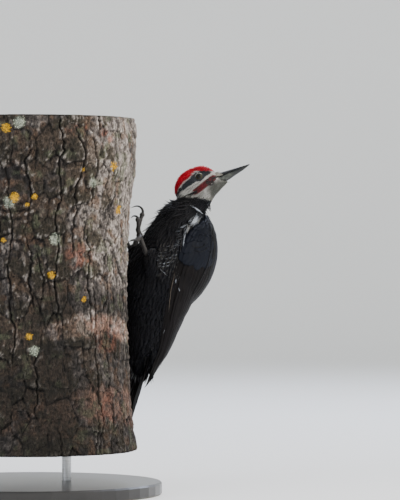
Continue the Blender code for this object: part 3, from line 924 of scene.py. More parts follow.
# ---- coat of head, neck and trunk


def is_crown(points):
    x, y = face_view(points)
    return (above_line(x, y, CROWN_EDGE) > 0) & (points[:, 2] > HEAD_FOOT)


def off_bill(points):
    """False for places inside the bill's root, where nothing grows."""
    return BILL.gap(points) > 0.7


def off_eyes(points):
    kept = np.ones(len(points), bool)
    for side in SIDES:
        across, along = near_eye(points, side)
        kept &= (across > LID_RADIUS + 0.75) | (along < 0)
    return kept


def shaded(tint, root, gain):
    """Paint for vanes of one colour each, darker at the root and paler towards the tip."""

    def paint(points, u, a, number):
        return tint[number] * (root + gain * u)[:, None]

    return paint


def build_head_coat(envelope, silky, sizes):
    """Small feathers of the face, and the long hair-like ones of the crown."""
    rng = np.random.default_rng(11)
    face = Coat()
    roots = envelope.scatter(sizes.face_spacing / MM, lambda p: (p[:, 2] > HEAD_FOOT - 3) & ~is_crown(p), 12)
    roots = roots[off_bill(roots) & off_eyes(roots)]
    local = in_head(roots)
    size = 3.2 + 3.6 * ease(local[:, 0], 2, -30) + 2.5 * ease(local[:, 2], -18, -30)
    count = len(roots)
    eye_gap = np.minimum(near_eye(roots, "left")[0], near_eye(roots, "right")[0])
    size = size * (0.45 + 0.55 * ease(eye_gap, 5, 11)) * rng.uniform(0.8, 1.25, count)
    depth = np.minimum(coat_depth(roots), 1.1)
    turn = rng.normal(0, 0.16, count)
    spine, up = grow(envelope, roots, size, depth, rng.uniform(0, 0.35, count), 5, turn)
    half = widths("hair", rng.uniform(0.26, 0.42, count), 5, rng, 0.12)
    face.add(spine, up, half, 0.14, shaded(markings(spine[:, 3], rng), 0.7, 0.38), rng, section=STRAND)
    face.build("coat_face", silky, "face_plumage", unwrap_head)

    crown = Coat()
    roots = envelope.scatter(sizes.crown_spacing / MM, is_crown, 13)
    roots = roots[off_bill(roots)]
    count, fore = len(roots), in_head(roots)[:, 0]
    size = (5 + sizes.crest_reach / MM * ease(fore, 18, -10)) * rng.uniform(0.75, 1.25, count)
    turn = rng.normal(0, 0.15, count)
    loose = rng.uniform(0, 1, count) ** 3
    lift = rng.uniform(0, 1.0, count) * ease(fore, 14, -20) + 1.6 * loose
    spine, up = grow(envelope, roots, size, np.minimum(coat_depth(roots), 2.0), lift, 7, turn)
    half = widths("hair", rng.uniform(0.24, 0.44, count), 7, rng, 0.1)
    crown.add(spine, up, half, 0.16, shaded(markings(spine[:, 3], rng), 0.4, 0.8), rng, section=STRAND)
    crown.build("coat_crown", silky, "red_plumage", unwrap_head)


def build_neck_coat(envelope, silky, sizes):
    """Long loose strands round the turned neck, and the white line and patch where it meets the wing."""
    rng = np.random.default_rng(21)

    def inside(p):
        return (p[:, 2] > NECK_FOOT - 14) & (p[:, 2] < HEAD_FOOT + 4)

    for name, spacing, reach, wide, loose_lift, seed in (
            ("coat_neck_under", 2.2, 13, 1.2, 0.8, 22),
            ("coat_neck_over", 1.45, 17, 0.36, 2.2, 23)):
        neck = Coat()
        roots = envelope.scatter(spacing * sizes.neck_scale, inside, seed)
        count = len(roots)
        size = reach * rng.uniform(0.6, 1.3, count)
        size = size * (1 - 0.5 * ease(roots[:, 2], HEAD_FOOT - 6, HEAD_FOOT + 4))
        turn = rng.normal(0, 0.2, count)
        q, z = side_view(roots)
        loose = ease(q, 214, 192) * ease(z, 350, 360)
        lift = rng.uniform(0, 1, count) ** 2 * (0.6 + loose_lift * loose)
        spine, up = grow(envelope, roots, size, np.minimum(coat_depth(roots), 3.4), lift, 8, turn)
        half = widths("hair", wide * rng.uniform(0.75, 1.25, count), 8, rng, 0.12)
        paint = shaded(markings(spine[:, 5], rng), 0.7, 0.45)
        neck.add(spine, up, half, 0.16, paint, rng, section=STRAND, cup=0.05)
        neck.build(name, silky, "black_plumage", unwrap_trunk)
    shaggy = Coat()
    roots = envelope.scatter(4.6 * sizes.neck_scale,
        lambda p: (p[:, 2] > 346) & (p[:, 2] < HEAD_FOOT - 3), 24)
    q, z = side_view(roots)
    roots = roots[(q < 205) | (rng.random(len(roots)) < 0.35)]
    count = len(roots)
    spine, up = grow(envelope, roots, rng.uniform(15, 25, count), 1.0, rng.uniform(2.0, 6.0, count), 10,
        rng.normal(0, 0.12, count), curl=1.0)
    half = widths("hair", rng.uniform(0.7, 1.3, count), 10, rng, 0.1)
    shaggy.add(spine, up, half, 0.2, shaded(markings(spine[:, 4], rng), 0.8, 0.5), rng, cup=0.1)
    paint = shaded(markings(spine[:, 4], rng), 0.8, 0.5)
    add_barbs(shaggy, spine, up, half[:, 3] * 1.4, 10, paint, rng, rise=0.1, cup=0.1, wide=0.2, reach=0.3)
    shaggy.build("coat_neck_loose", silky, "black_plumage", unwrap_trunk)


def build_trunk_coat(envelope, silky, sizes):
    """Soft feathers of trunk and thighs: a thin vane each, and loose barbs fanned over it."""
    rng = np.random.default_rng(31)
    thighs = Surface(node_mesh("thigh_left", "thigh_right"))
    roots = envelope.scatter(sizes.trunk_spacing / MM, lambda p: p[:, 2] < NECK_FOOT - 4, 32)
    roots = roots[envelope.near(roots)[1][:, 2] > -0.75]
    thigh = thighs.gap(roots) < 1.2
    low = ease(roots[:, 2], 250, 190)
    count = len(roots)
    scale = np.where(thigh, 0.62, 1) * rng.uniform(0.85, 1.15, count)
    size = 15.5 * (1 + 0.35 * low) * scale
    half = 3.4 * (1 + 0.2 * low) * scale
    spine, up = grow(envelope, roots, size, np.minimum(coat_depth(roots), 3.2),
        rng.uniform(0, 0.45, count), 8, rng.normal(0, 0.08, count))
    tint = markings(spine[:, 6], rng)
    fringe = flank_share(spine[:, -1]) * rng.uniform(0.3, 1.0, count)
    pale = colours().fringe

    def fringed(kept, start):
        own_tint, own_fringe = tint[kept], fringe[kept]

        def paint(points, u, a, number):
            return mix(own_tint[number] * (0.8 + 0.3 * u)[:, None], pale,
                ease(u, start, start + 0.1) * own_fringe[number] * 0.22)

        return paint

    vanes = Coat()
    wide = widths("soft", half * 0.92, 8, rng, 0.08)
    vanes.add(spine, up, wide, 0.12, fringed(slice(None), 0.88), rng, cup=0.2)
    vanes.build("coat_trunk", silky, "black_plumage", unwrap_trunk)
    back = roots[:, 0] > spine_x(roots[:, 2])
    high = roots[:, 2] > 275
    for name, kept in (("breast", ~back & high), ("belly", ~back & ~high),
            ("back", back & high), ("rump", back & ~high)):
        barbs, paint = Coat(), fringed(kept, 0.90)
        add_barbs(barbs, spine[kept], up[kept], half[kept], sizes.barbs, paint, rng, rise=0.3, cup=0.2)
        barbs.build("coat_barbs_" + name, silky, "black_plumage", unwrap_trunk)


# ---- wings and tail


SHEET_COLUMNS = 41


class Sheet:
    """The outer face of a folded wing or of the tail: v runs down it and w across it, both 0 to 1."""

    def __init__(self, grid, out):
        self.grid = grid
        down, over = np.gradient(grid, axis=0), np.gradient(grid, axis=1)
        normal = unit(np.cross(down, over))
        flip = np.sign((normal * out).sum(2, keepdims=True))
        self.normals = normal * np.where(flip == 0, 1, flip)

    def at(self, v, w):
        """Places and outward normals at v, w."""
        rows, columns = self.grid.shape[0] - 1, self.grid.shape[1] - 1
        i, j = np.clip(v, 0, 1) * rows, np.clip(w, 0, 1) * columns
        i0, j0 = np.minimum(i.astype(int), rows - 1), np.minimum(j.astype(int), columns - 1)
        a, b = (i - i0)[..., None], (j - j0)[..., None]
        found = []
        for table in (self.grid, self.normals):
            top = table[i0, j0] * (1 - b) + table[i0, j0 + 1] * b
            low = table[i0 + 1, j0] * (1 - b) + table[i0 + 1, j0 + 1] * b
            found.append(top * (1 - a) + low * a)
        return found[0], unit(found[1])


def evened(grid, rounds):
    for _ in range(rounds):
        grid[1:-1] = (grid[:-2] + 2 * grid[1:-1] + grid[2:]) / 4
        grid[:, 1:-1] = (grid[:, :-2] + 2 * grid[:, 1:-1] + grid[:, 2:]) / 4
    return grid


def wing_sheet(side):
    """The folded wing's outer face, from the CAD wing: v from shoulder to tip, w from back to belly edge."""
    wing = Surface(node_mesh("wing_" + side, "primaries_" + side))
    sign = SIDES[side]
    heights = np.linspace(wing.points[:, 2].max() - 1.5, wing.points[:, 2].min() + 1.0, 90)
    angles = np.radians(np.arange(-4, 130, 1.5))
    far, starts, ends, slices = 150.0, [], [], []

    def hit(height, angle):
        out = Vector((math.cos(angle), sign * math.sin(angle), 0))
        axis = Vector((float(spine_x(np.array([height]))[0]), 0, height))
        place = wing.tree.ray_cast(axis + out * far, -out, far)[0]
        return None if place is None else (place - axis).length

    for height in heights:
        reach = [(a, r) for a, r in ((a, hit(height, a)) for a in angles) if r is not None]
        slices.append(np.array(reach))
        starts.append(reach[0][0])
        ends.append(reach[-1][0])
    starts, ends = blur(np.array(starts), 8), blur(np.array(ends), 8)
    grid = np.zeros((len(heights), SHEET_COLUMNS, 3))
    for i, (height, reach) in enumerate(zip(heights, slices)):
        angle = np.linspace(starts[i], ends[i], SHEET_COLUMNS)
        radius = np.interp(angle, reach[:, 0], reach[:, 1])
        grid[i, :, 0] = spine_x(np.array([height])) + radius * np.cos(angle)
        grid[i, :, 1] = sign * radius * np.sin(angle)
        grid[i, :, 2] = height
    grid = evened(grid, 2)
    return Sheet(grid, grid - spine_at(heights)[:, None])


def feather_row(coat, sheet, rng, count, roots, tips, half, paint, deep, stations, outline, tilt, thick=0.2,
        section=SHAFTED, uneven=0.02):
    """A row of feathers across a sheet. roots, tips and half each run from a first to a last value over the
    row: roots and tips as (v, w), half in millimetres; deep is how far root and tip lie under the face."""
    t = np.linspace(0, 1, count)[:, None]
    u = np.linspace(0, 1, stations)[None]
    (v0, w0), (v1, w1) = roots
    (p0, q0), (p1, q1) = tips
    wander = rng.uniform(-uneven, uneven, (3, count, 1))
    v = (v0 + (v1 - v0) * t) * (1 - u) + (p0 + (p1 - p0) * t + wander[0]) * u
    w = (w0 + (w1 - w0) * t) * (1 - u) + (q0 + (q1 - q0) * t + wander[1] * 0.5) * u
    places, normals = sheet.at(v, w)
    sink = deep[0] * (1 - u) ** 1.2 + deep[1] + wander[2] * 4
    spine = places - normals * np.maximum(sink, 0.15)[..., None]
    shape = np.interp(u[0], *np.transpose(OUTLINES[outline]))
    wide = (half[0] + (half[1] - half[0]) * t) * shape * (1 + rng.uniform(-0.03, 0.03, (count, stations)))
    coat.add(spine, normals, wide, thick, paint, rng, section=section, cup=0.12, tilt=tilt)


def flat_paint(base, rng, shaft=None, spread=0.15):
    """One colour over a vane, paler or darker feather by feather, and a shaft and edges of their own."""
    tones = 1 + rng.uniform(-spread, spread, MOST_VANES)

    def paint(points, u, a, number):
        tint = colour(base) * (tones[number] * (0.85 + 0.2 * u))[:, None]
        if shaft is not None:
            tint = mix(tint, shaft, (np.abs(a) < 0.04) * 0.9)
            tint = mix(tint, colour(shaft) * 0.8, (np.abs(a) > 0.95) * 0.8)
        return tint

    return paint


def build_wing(side, stiff, sizes):
    """A folded wing: stacked primaries, secondaries and tertials, and rows of coverts over their roots."""
    rng = np.random.default_rng(41)
    sheet = wing_sheet(side)
    tilt = sizes.tilt * -SIDES[side]
    flight, coverts = Coat(), Coat()
    dark = flat_paint(sizes.flight, rng, sizes.shaft)
    wide = sizes.remex_width / MM / 2

    def stack(coat, count, roots, tips, half, paint, deep, stations, outline="remex", **more):
        feather_row(coat, sheet, rng, count, roots, tips, half, paint, deep, stations, outline, tilt, **more)

    for count, roots, tips, half, deep, stations, outline, uneven in (
            (9, ((0.24, 0.62), (0.22, 1)), ((0.86, 0.42), (0.8, 0.97)), (1, 0.5),
             (1.4, 1.1), 30, "primary", 0.02),
            (7, ((0.45, 0.45), (0.42, 0.86)), ((0.88, 0.1), (1, 0.85)), (0.9, 0.8),
             (1.2, 0.8), 30, "primary", 0.006),
            (11, ((0.2, 0.8), (0.16, 0.16)), ((0.66, 0.74), (0.54, 0.1)), (0.95, 1.05),
             (1.0, 0.5), 30, "remex", 0.02),
            (4, ((0.16, 0.28), (0.12, 0.06)), ((0.58, 0.22), (0.54, 0.03)), (1.1, 0.9),
             (0.8, 0.3), 26, "remex", 0.02)):
        half = [wide * share for share in half]
        stack(flight, count, roots, tips, half, dark, deep, stations, outline, uneven=uneven)
    slate = flat_paint(sizes.covert, rng, spread=0.1)
    broad = sizes.covert_width / MM / 2
    stack(coverts, 12, ((0.12, 0.12), (0.14, 0.97)), ((0.335, 0.10), (0.29, 0.95)), (broad, broad * 0.75),
        slate, (1.2, 0.3), 16, "round", thick=0.16)
    stack(coverts, 13, ((0.06, 0.14), (0.08, 0.97)), ((0.245, 0.08), (0.215, 0.96)),
        (broad * 0.85, broad * 0.65), slate, (1.2, 0.25), 14, "round", thick=0.15)
    for i in range(5):
        row, shift = 0.175 - 0.034 * i, 0.03 * (i % 2)
        high = max(row - 0.10, 0)
        stack(coverts, 15, ((high, 0.06 + shift), (high, 0.97)), ((row, 0.05 + shift), (row - 0.01, 0.985)),
            (broad * (0.62 - 0.05 * i), broad * (0.5 - 0.05 * i)), slate, (1.1, 0.2), 10, "round",
            section=DIAMOND, thick=0.14)
    violet = flat_paint(sizes.scapular, rng)

    def strip_paint(points, u, a, number):
        # painted shadow: the first feather of each row, beside the coverts, is darker for the shaded gap
        # there
        return mix(violet(points, u, a, number), colour(sizes.flight) * 0.5, (number == 0) * 1.0)

    for i in range(5):
        row, edge = 0.52 - 0.09 * i, 0.26 + 0.035 * i
        high = max(row - 0.22, 0)
        stack(coverts, 7, ((high, edge + 0.02), (high, 0.0)), ((row, edge), (row, 0.0)),
            (broad * 0.7, broad * 0.6), strip_paint, (0.7, 0.0), 16, thick=0.18)

    def unwrap(roots):
        return unwrap_trunk(roots)[:, ::-1]

    flight.build("flight_feathers_" + side, stiff, "flight_feathers", unwrap, "primaries_" + side)
    coverts.build("coverts_" + side, stiff, "slate_plumage", unwrap)
    return sheet


def build_marks(envelope, sheets, silky):
    """The fine pale strands on shoulder, flank and wing, drawn over the black on both sides, and painted
    shadow in wing gaps.
    """
    rng = np.random.default_rng(71)
    points, faces, first = [envelope.points], [envelope.triangles], len(envelope.points)
    for sheet in sheets:
        rows, columns, _ = sheet.grid.shape
        corner = (np.arange(rows - 1)[:, None] * columns + np.arange(columns - 1)).reshape(-1, 1) + first
        points.append(sheet.grid.reshape(-1, 3))
        faces += [corner + [0, 1, columns], corner + [1, columns + 1, columns]]
        first += rows * columns
    surface = Surface(make_mesh("marked", np.concatenate(points), np.concatenate(faces)))
    marks = Coat()
    pale = colour(colours().strand)
    # gap is the near-black of painted shadow between feathers
    quill, gap = colour("#5c544a"), colour("#050506")
    strokes = (  # line, strands, spread, half width, tint, height, share of the line that each strand takes
        (SHOULDER_LINE, 14, 0.35, 0.15, pale, 0.9, 0.5),
        (((208, 369), (211.5, 366.5), (215, 362)), 9, 1.2, 0.11, pale * 0.8, 0.9, 0.5),
        (((217.5, 357), (211, 349.5), (204.5, 343)), 80, 2.1, 0.15, pale * 0.5, 0.7, 0.35),
        (((215.5, 354), (211, 349.5), (207, 345)), 60, 1.1, 0.15, pale, 0.9, 0.45),
        (((188, 339.6), (196, 341.6), (203, 344.5)), 12, 0.8, 0.11, pale * 0.5, 0.6, 0.5),
        (((204, 342), (201, 338), (197.6, 326.8)), 12, 0.9, 0.12, pale * 0.6, 0.8, 0.35),
        (((200, 334), (197.6, 326.8), (195.8, 309)), 9, 0.3, 0.14, pale * 0.9, 1.5, 0.35),
        (FLANK_LINE, 9, 0.3, 0.1, pale * 0.7, 0.5, 0.22),
        (((187.2, 288.6), (180.7, 260), (177.5, 230.1)), 12, 0.1, 0.26, quill, 0.8, 0.45),
        (((187.5, 274.8), (187.0, 268.6)), 4, 0.16, 0.2, pale, 0.9, 0.85),
        (((190.6, 263.4), (191.9, 260.4), (191.2, 258.2)), 4, 0.12, 0.18, pale, 0.9, 0.85),
        (((172.6, 209.5), (170.9, 204.1)), 3, 0.12, 0.16, pale * 0.8, 0.8, 0.85),
        (((156.7, 163.8), (155.4, 159.3)), 3, 0.15, 0.16, pale * 0.7, 0.8, 0.85),
        # painted shadow: near-black strands along the gap between coverts and scapulars, and along the edges
        # of two coverts
        (((223.2, 355.7), (231.0, 346.4), (233.6, 327.8), (232.4, 309.2), (227.6, 290.6), (216.5, 268.4),
          (203.7, 246)),
         34, 0.22, 0.5, gap, 0.35, 0.3),
        (((206.5, 318.5), (214, 314.8), (222, 316.5), (228.8, 322.3)), 8, 0.2, 0.35, gap, 0.4, 0.5),
        (((208.4, 313.8), (217.7, 309.2), (224, 311.5), (230.6, 318.5)), 8, 0.2, 0.35, gap, 0.4, 0.5))
    for line, count, spread, half, tint, lift, overlap in strokes:
        paint = flat_paint(tint, rng, spread=0.25)
        add_strokes(marks, surface, line, count, spread, half, paint, rng, lift, 8, overlap)
    for i in range(FLANK_ROWS):  # rows of pale feather tips
        level = 318 - 4.4 * i
        start = np.interp(level, [288, 296, 306, 318], [164.5, 161.5, 161, 175]) + 2.5 * (i % 2)
        strength = rng.uniform(0.15, 0.65)
        for k in range(int((np.interp(level, [288, 300, 318], [180, 190, 195]) - start) / TIP_WIDE)):
            left = start + k * TIP_WIDE
            drop = rng.normal(0, 0.5)
            tip = [(left + TIP_WIDE * t + rng.normal(0, 0.2),
                level + drop + 1.6 * (t - 0.5) - 1.4 * math.sin(math.pi * t) + 0.12 * (left - start)
                + rng.normal(0, 0.2)) for t in np.linspace(0, 1, 5)]
            tone = flat_paint(pale * strength * rng.uniform(0.4, 1.5), rng, spread=0.5)
            add_strokes(marks, surface, tip, 4, 0.3, 0.09, tone, rng, 0.5, 6, 0.6)
    for level in (336, 330.5, 324.5, 319):  # loose barbs beside the wing's edge
        line = [(185 + 12 * t, level - 2 * math.sin(math.pi * t) + 3 * t) for t in np.linspace(0, 1, 5)]
        paint = flat_paint(pale * 0.4, rng, spread=0.8)
        add_strokes(marks, surface, line, 9, 1.3, 0.08, paint, rng, 0.6, 6, 0.4)
    marks.build("coat_marks", silky, "face_plumage", unwrap_trunk)


def tail_sheet():
    """The tail's outer face, found on the CAD tail: v from root to tip, w from left to right edge."""
    tail = Surface(node_mesh("tail"))
    low, high = tail.points[:, 2].min() + 0.5, tail.points[:, 2].max() - 0.5
    heights = np.linspace(high, low, 80)
    grid = np.zeros((len(heights), SHEET_COLUMNS, 3))
    for i, height in enumerate(heights):
        band = tail.points[np.abs(tail.points[:, 2] - height) < 9]
        wide = np.abs(band[:, 1]).max() - 0.3
        for j, y in enumerate(np.linspace(-wide, wide, SHEET_COLUMNS)):
            place = tail.tree.ray_cast(Vector((400, y, height)), Vector((-1, 0, 0)), 400)[0]
            grid[i, j] = (place.x if place else np.nan, y, height)
    for i in range(len(heights)):
        row = grid[i, :, 0]
        known = ~np.isnan(row)
        if known.sum() > 2:
            fit = np.polyfit(grid[i, known, 1] ** 2, row[known], 1)
            grid[i, :, 0] = np.where(known, row, np.polyval(fit, grid[i, :, 1] ** 2))
        else:
            grid[i, :, 0] = grid[i - 1, :, 0] + (grid[i - 1, :, 0] - grid[i - 2, :, 0])
    return Sheet(evened(grid, 4), np.array([1.0, 0, 0]))


def build_tail(stiff, sizes):
    """Twelve stiff tail feathers with worn tips and strong shafts, the middle pair longest and outermost."""
    rng = np.random.default_rng(51)
    sheet = tail_sheet()
    tail = Coat()
    dark = flat_paint(sizes.flight, rng, sizes.shaft)
    for sign in (-1, 1):
        middle = 0.5 + sign * 0.04
        for i, share in enumerate(np.linspace(0, 1, 6)):
            root_w, tip_w = middle + sign * 0.33 * share, middle + sign * 0.40 * share
            tip_v = 0.995 - 0.30 * share ** 1.5
            roots, tips = ((0.04, root_w),) * 2, ((tip_v, tip_w),) * 2
            feather_row(tail, sheet, rng, 1, roots, tips, (7.4 - 1.5 * share, 7.4), dark,
                (1.6, 0.25 + 0.26 * i), 34, "rectrix", 0.05 * sign, thick=0.3, uneven=0.004)
    tail.build("tail_feathers", stiff, "flight_feathers", lambda roots: roots[:, [1, 2]], "tail")


# ---- bill, eyes, feet and claws


def smooth_copy(node, levels):
    """A CAD node's shape as four-cornered faces, subdivided."""
    whole = bmesh.new()
    whole.from_mesh(node_mesh(node))
    bmesh.ops.join_triangles(whole, faces=whole.faces[:], angle_face_threshold=math.radians(50),
        angle_shape_threshold=math.radians(60))
    return modified(written(whole), ("SUBSURF", {"levels": levels, "render_levels": levels}))


def horn(name, roughness, grain):
    """Keratin sheath of bill and claws: satin, with fine lines along it."""
    # a dull polish, worn along the grain, with a soft highlight down each edge
    material, tree = finish(name, Roughness=roughness, Specular_IOR_Level=0.3, Coat_Weight=0.06,
        Coat_Roughness=0.25)
    paint = add_node(tree, "Attribute", "horn")
    place = add_node(tree, "Attribute", "grain")
    lines = add_node(tree, "TexNoise", Vector=place.outputs["Vector"], Scale=1.0, Detail=4.0)
    shade = add_node(tree, "Math", "MULTIPLY_ADD", i0=lines, i1=0.6, i2=0.7)
    tone = add_node(tree, "VectorMath", "SCALE", i0=paint, Scale=shade)
    dress(tree, tone, lines, grain, 0.15)
    return material


def build_bill(material, sizes):
    """Upper and lower bill: keel along the top, nostril groove, and a paler, horn-coloured lower half."""
    for name in ("bill_upper", "bill_lower"):
        mesh = smooth_copy(name, 3)
        points = points_of(mesh)
        x, y, z = in_head(points).T
        outward = Surface(mesh).normals
        half = np.maximum(np.interp(x, [17, 36, 51, 67], [7, 5.6, 3.7, 1]), 0.5)
        edge = np.abs(y) / half
        if name == "bill_upper":
            groove = ease(np.abs(z - np.interp(x, [17, 60], [-3.4, -5.2])), 0.9, 0.1)
            groove = groove * ease(x, 56, 30) * ease(edge, 0.2, 0.5)
            points -= outward * (groove * 0.35)[:, None]
            # painted highlights: top paints the keel a little paler, and band lays a pale sheen under it
            top = ease(edge, 0.55, 0.12)
            paint = np.tile(sizes.horn, (len(points), 1))
            band = ease(edge, 0.12, 0.34) * ease(edge, 0.78, 0.5) * ease(groove, 0.5, 0.0)
            paint = mix(paint, sizes.band, band * ease(x, 16, 22) * ease(x, 64, 50) * 0.5)
            paint = mix(paint, "#0e0f11", ease(edge, 0.6, 0.85) * 0.8)
            paint = mix(paint, "#303438", top * 0.5)
        else:
            fuller = 1.0 * ease(x, 24, 36) * ease(x, 68, 54) * np.maximum(-(outward @ HEAD_AXES[2]), 0)
            points -= np.outer(fuller, HEAD_AXES[2])
            paint = np.tile(colour("#262928"), (len(points), 1))
            worn = ease(np.abs(x - 33), 11, 3) * (0.25 + 0.25 * noise(points, 2.5, 62))
            paint = mix(paint, sizes.pale, worn)
            paint = mix(paint, "#7d807b", ease(np.hypot(x - 22.5, (z + 10) * 1.6), 3.6, 1.8) * 0.6)
            paint = mix(paint, "#1b1d1f", ease(x, 44, 52))
            paint = mix(paint, "#17191b", ease(z - np.interp(x, [17, 67], [-7.5, -5.9]), -1.3, -0.4))
            keel = np.interp(x, [17, 29, 36, 43, 51, 60, 67], [-15.4, -14.7, -13.8, -11.8, -10.1, -8.3, -6.4])
            paint = mix(paint, "#222526", ease(z - keel, 1.6, 0.5) * ease(x, 22, 30))
        place_points(mesh, points)
        set_points(mesh, "horn", "FLOAT_COLOR", paint)
        set_points(mesh, "grain", "FLOAT_VECTOR", np.stack([x / 9, y / 0.9, z / 0.9], 1))
        settle(name + "_sheath", mesh, material, "bill_horn", name)


def build_nostril_tufts(silky, sizes):
    """Bristly pale tufts that lie forward over the nostrils, and a few bristles at the chin."""
    rng = np.random.default_rng(61)
    tufts = Coat()
    count, u = 170, np.linspace(0, 1, 6)[None, :, None]
    for sign in (-1, 1):
        t = rng.random(count)
        local = np.stack([13 + 6.5 * rng.random(count), sign * (7.7 - 2.6 * t ** 2), -6.0 + 5.6 * t], 1)
        reach = rng.uniform(7, 13.5, count) * (1 - 0.25 * t)
        aim = np.stack([np.ones(count), sign * (-0.14 - 0.05 * t), rng.normal(-0.12, 0.05, count)], 1)
        lift = np.stack([0 * t, sign * (0.55 + 0.4 * rng.random(count)), 0.5 + 0 * t], 1)
        line = local[:, None] + aim[:, None] * reach[:, None, None] * u
        line = line + lift[:, None] * np.sin(u * np.pi * 0.9) * 0.8
        spine = HEAD_AT + line @ HEAD_AXES
        up = np.broadcast_to(unit(np.array([0, sign * 0.9, 0.4]) @ HEAD_AXES), spine.shape)
        tone = rng.uniform(0.7, 1.1, count)

        def paint(points, u, a, number, tone=tone):
            base = np.tile(sizes.tuft, (len(points), 1))
            return mix(base, "#7d776b", 0.4 * (1 - u)) * tone[number][:, None]

        tufts.add(spine, up, widths("hair", rng.uniform(0.28, 0.5, count), 6, rng, 0.1), 0.2, paint, rng)
    count = 9
    local = np.stack([24 + 6 * rng.random(count), rng.normal(0, 2.2, count),
        -16.8 + 0 * rng.random(count)], 1)
    aim = np.stack([rng.uniform(0.8, 1, count), rng.normal(0, 0.12, count),
        rng.uniform(-0.5, -0.1, count)], 1)
    spine = HEAD_AT + (local[:, None] + aim[:, None] * rng.uniform(3, 6, (count, 1, 1)) * u) @ HEAD_AXES
    up = np.broadcast_to(HEAD_AXES[1], spine.shape)
    tufts.add(spine, up, widths("hair", np.full(count, 0.13), 6, rng), 0.1, flat_paint("#55554f", rng), rng)
    tufts.build("nostril_tufts", silky, "face_plumage", unwrap_head)


def build_eyes(sizes):
    """Wet eyeballs: wide black pupil in an olive-yellow iris, with a faint bulge of cornea."""
    # one small sharp glint over a deep black pupil makes the eye look wet
    material, tree = finish("eye under clear cornea", Roughness=0.2, Specular_IOR_Level=0.1, Coat_Weight=0.4,
        Coat_Roughness=0.02, Coat_IOR=1.38)
    place = add_node(tree, "Attribute", "gaze")
    split = add_node(tree, "SeparateXYZ", i0=place.outputs["Vector"])
    streaks = add_node(tree, "TexNoise", {"noise_dimensions": "2D"}, Vector=place.outputs["Vector"],
        Scale=9.0, Detail=3.0)
    wander = add_node(tree, "Math", "MULTIPLY_ADD", i0=streaks, i1=0.05, i2=split.outputs[2])
    pupil = sizes.pupil
    stops = ((0.0, "#030303"), (pupil, "#050505"), (pupil + 0.025, "#2b2916"), (pupil + 0.10, sizes.iris),
        (pupil + 0.17, sizes.iris), (pupil + 0.24, "#1f1e17"), (1.0, "#101110"))
    dress(tree, add_node(tree, "ValToRGB", stops=stops, i0=wander))
    for side in SIDES:
        theta = np.linspace(np.pi, 0, 41)[1:-1]
        radius = EYE_RADIUS - 0.05 + sizes.bulge / MM * ease(np.degrees(theta), 42, 18)
        local, quads, caps = spun_solid(radius * np.sin(theta), radius * np.cos(theta), 64)
        local[-2:, 2] = -radius[0], radius[-1]
        outward, fore = -SIDES[side] * HEAD_AXES[1], HEAD_AXES[0]
        points = EYES[side] + local @ np.array([fore, np.cross(outward, fore), outward])
        mesh = make_mesh("eyeball_" + side, points, quads, caps)
        off = np.hypot(local[:, 0], local[:, 1])
        away = np.where(local[:, 2] > 0, off, 2 * EYE_RADIUS - off) / EYE_RADIUS
        turn = np.arctan2(local[:, 1], local[:, 0])
        set_points(mesh, "gaze", "FLOAT_VECTOR", np.stack([np.cos(turn), np.sin(turn), away], 1))
        settle("eyeball_" + side, mesh, material, "eye", "eye_" + side)


TOES = ("inner", "outer", "side", "hind")
LEG_SWELL, CLAW_SWELL = 0.75, 0.4  # how far skin and horn stand out from the CAD shapes, in millimetres


def claw_collars(side):
    """Small balls where the claws leave the toes, to be grown into the toes' skin."""
    foot = Surface(node_mesh("foot_" + side))
    collars = []
    for toe in TOES:
        points = points_of(node_mesh(f"claw_{side}_{toe}"))
        gaps = foot.gap(points)
        root = points[gaps <= np.sort(gaps)[max(6, len(gaps) // 7)]]
        middle = root.mean(0)
        radius = np.percentile(np.linalg.norm(root - middle, axis=1), 70) * 1.15 + 0.45
        ball = bmesh.new()
        bmesh.ops.create_icosphere(ball, subdivisions=3, radius=radius * MM,
            matrix=Matrix.Translation(Vector((middle * MM).tolist())))
        collars.append(written(ball))
    return collars


def build_feet(sizes):
    """Scaled shanks and toes: overlapping scutes along the outside, pebbled pads on the inside."""
    # dry grey scales, darker between, with hardly any shine
    material, tree = finish("scaled leg skin", Roughness=0.58, Specular_IOR_Level=0.25)
    paint = add_node(tree, "Attribute", "scute")
    cloud = add_node(tree, "TexNoise", grain=5, Detail=4.0)
    level = add_node(tree, "Math", "MULTIPLY_ADD", i0=cloud, i1=0.5, i2=paint.outputs["Fac"])
    stops = ((0.25, "#131212"), (0.6, sizes.leg), (1.0, "#67645f"))
    tone = add_node(tree, "ValToRGB", stops=stops, i0=level)
    dress(tree, tone, add_node(tree, "TexVoronoi", grain=0.8), 0.5, 0.15)
    for side in SIDES:
        mesh = remeshed(joined(node_mesh("tarsus_" + side, "foot_" + side), *claw_collars(side)), 0.5, 4)
        skin = Surface(mesh)
        low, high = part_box("tarsus_" + side)
        low, high = np.array(low) / MM, np.array(high) / MM
        palm = np.array([low[0] + 1.0, SIDES[side] * (min(abs(low[1]), abs(high[1])) + 7), high[2]])
        far = np.linalg.norm(skin.points - palm, axis=1)
        saw = (far / (sizes.scute / MM)) % 1.0
        outer = ease((skin.normals * unit(skin.points * [1, 1, 0])).sum(1), -0.3, 0.4)
        rise = outer * (0.34 * saw - 0.17) + (1 - outer) * noise(skin.points, 1.1, 9) * 0.12
        points = skin.points + skin.normals * (rise + LEG_SWELL)[:, None]
        place_points(mesh, points)
        set_points(mesh, "scute", "FLOAT", 0.15 + 0.3 * saw * outer)
        settle("leg_skin_" + side, mesh, material, "leg_skin", "tarsus_" + side, "foot_" + side)


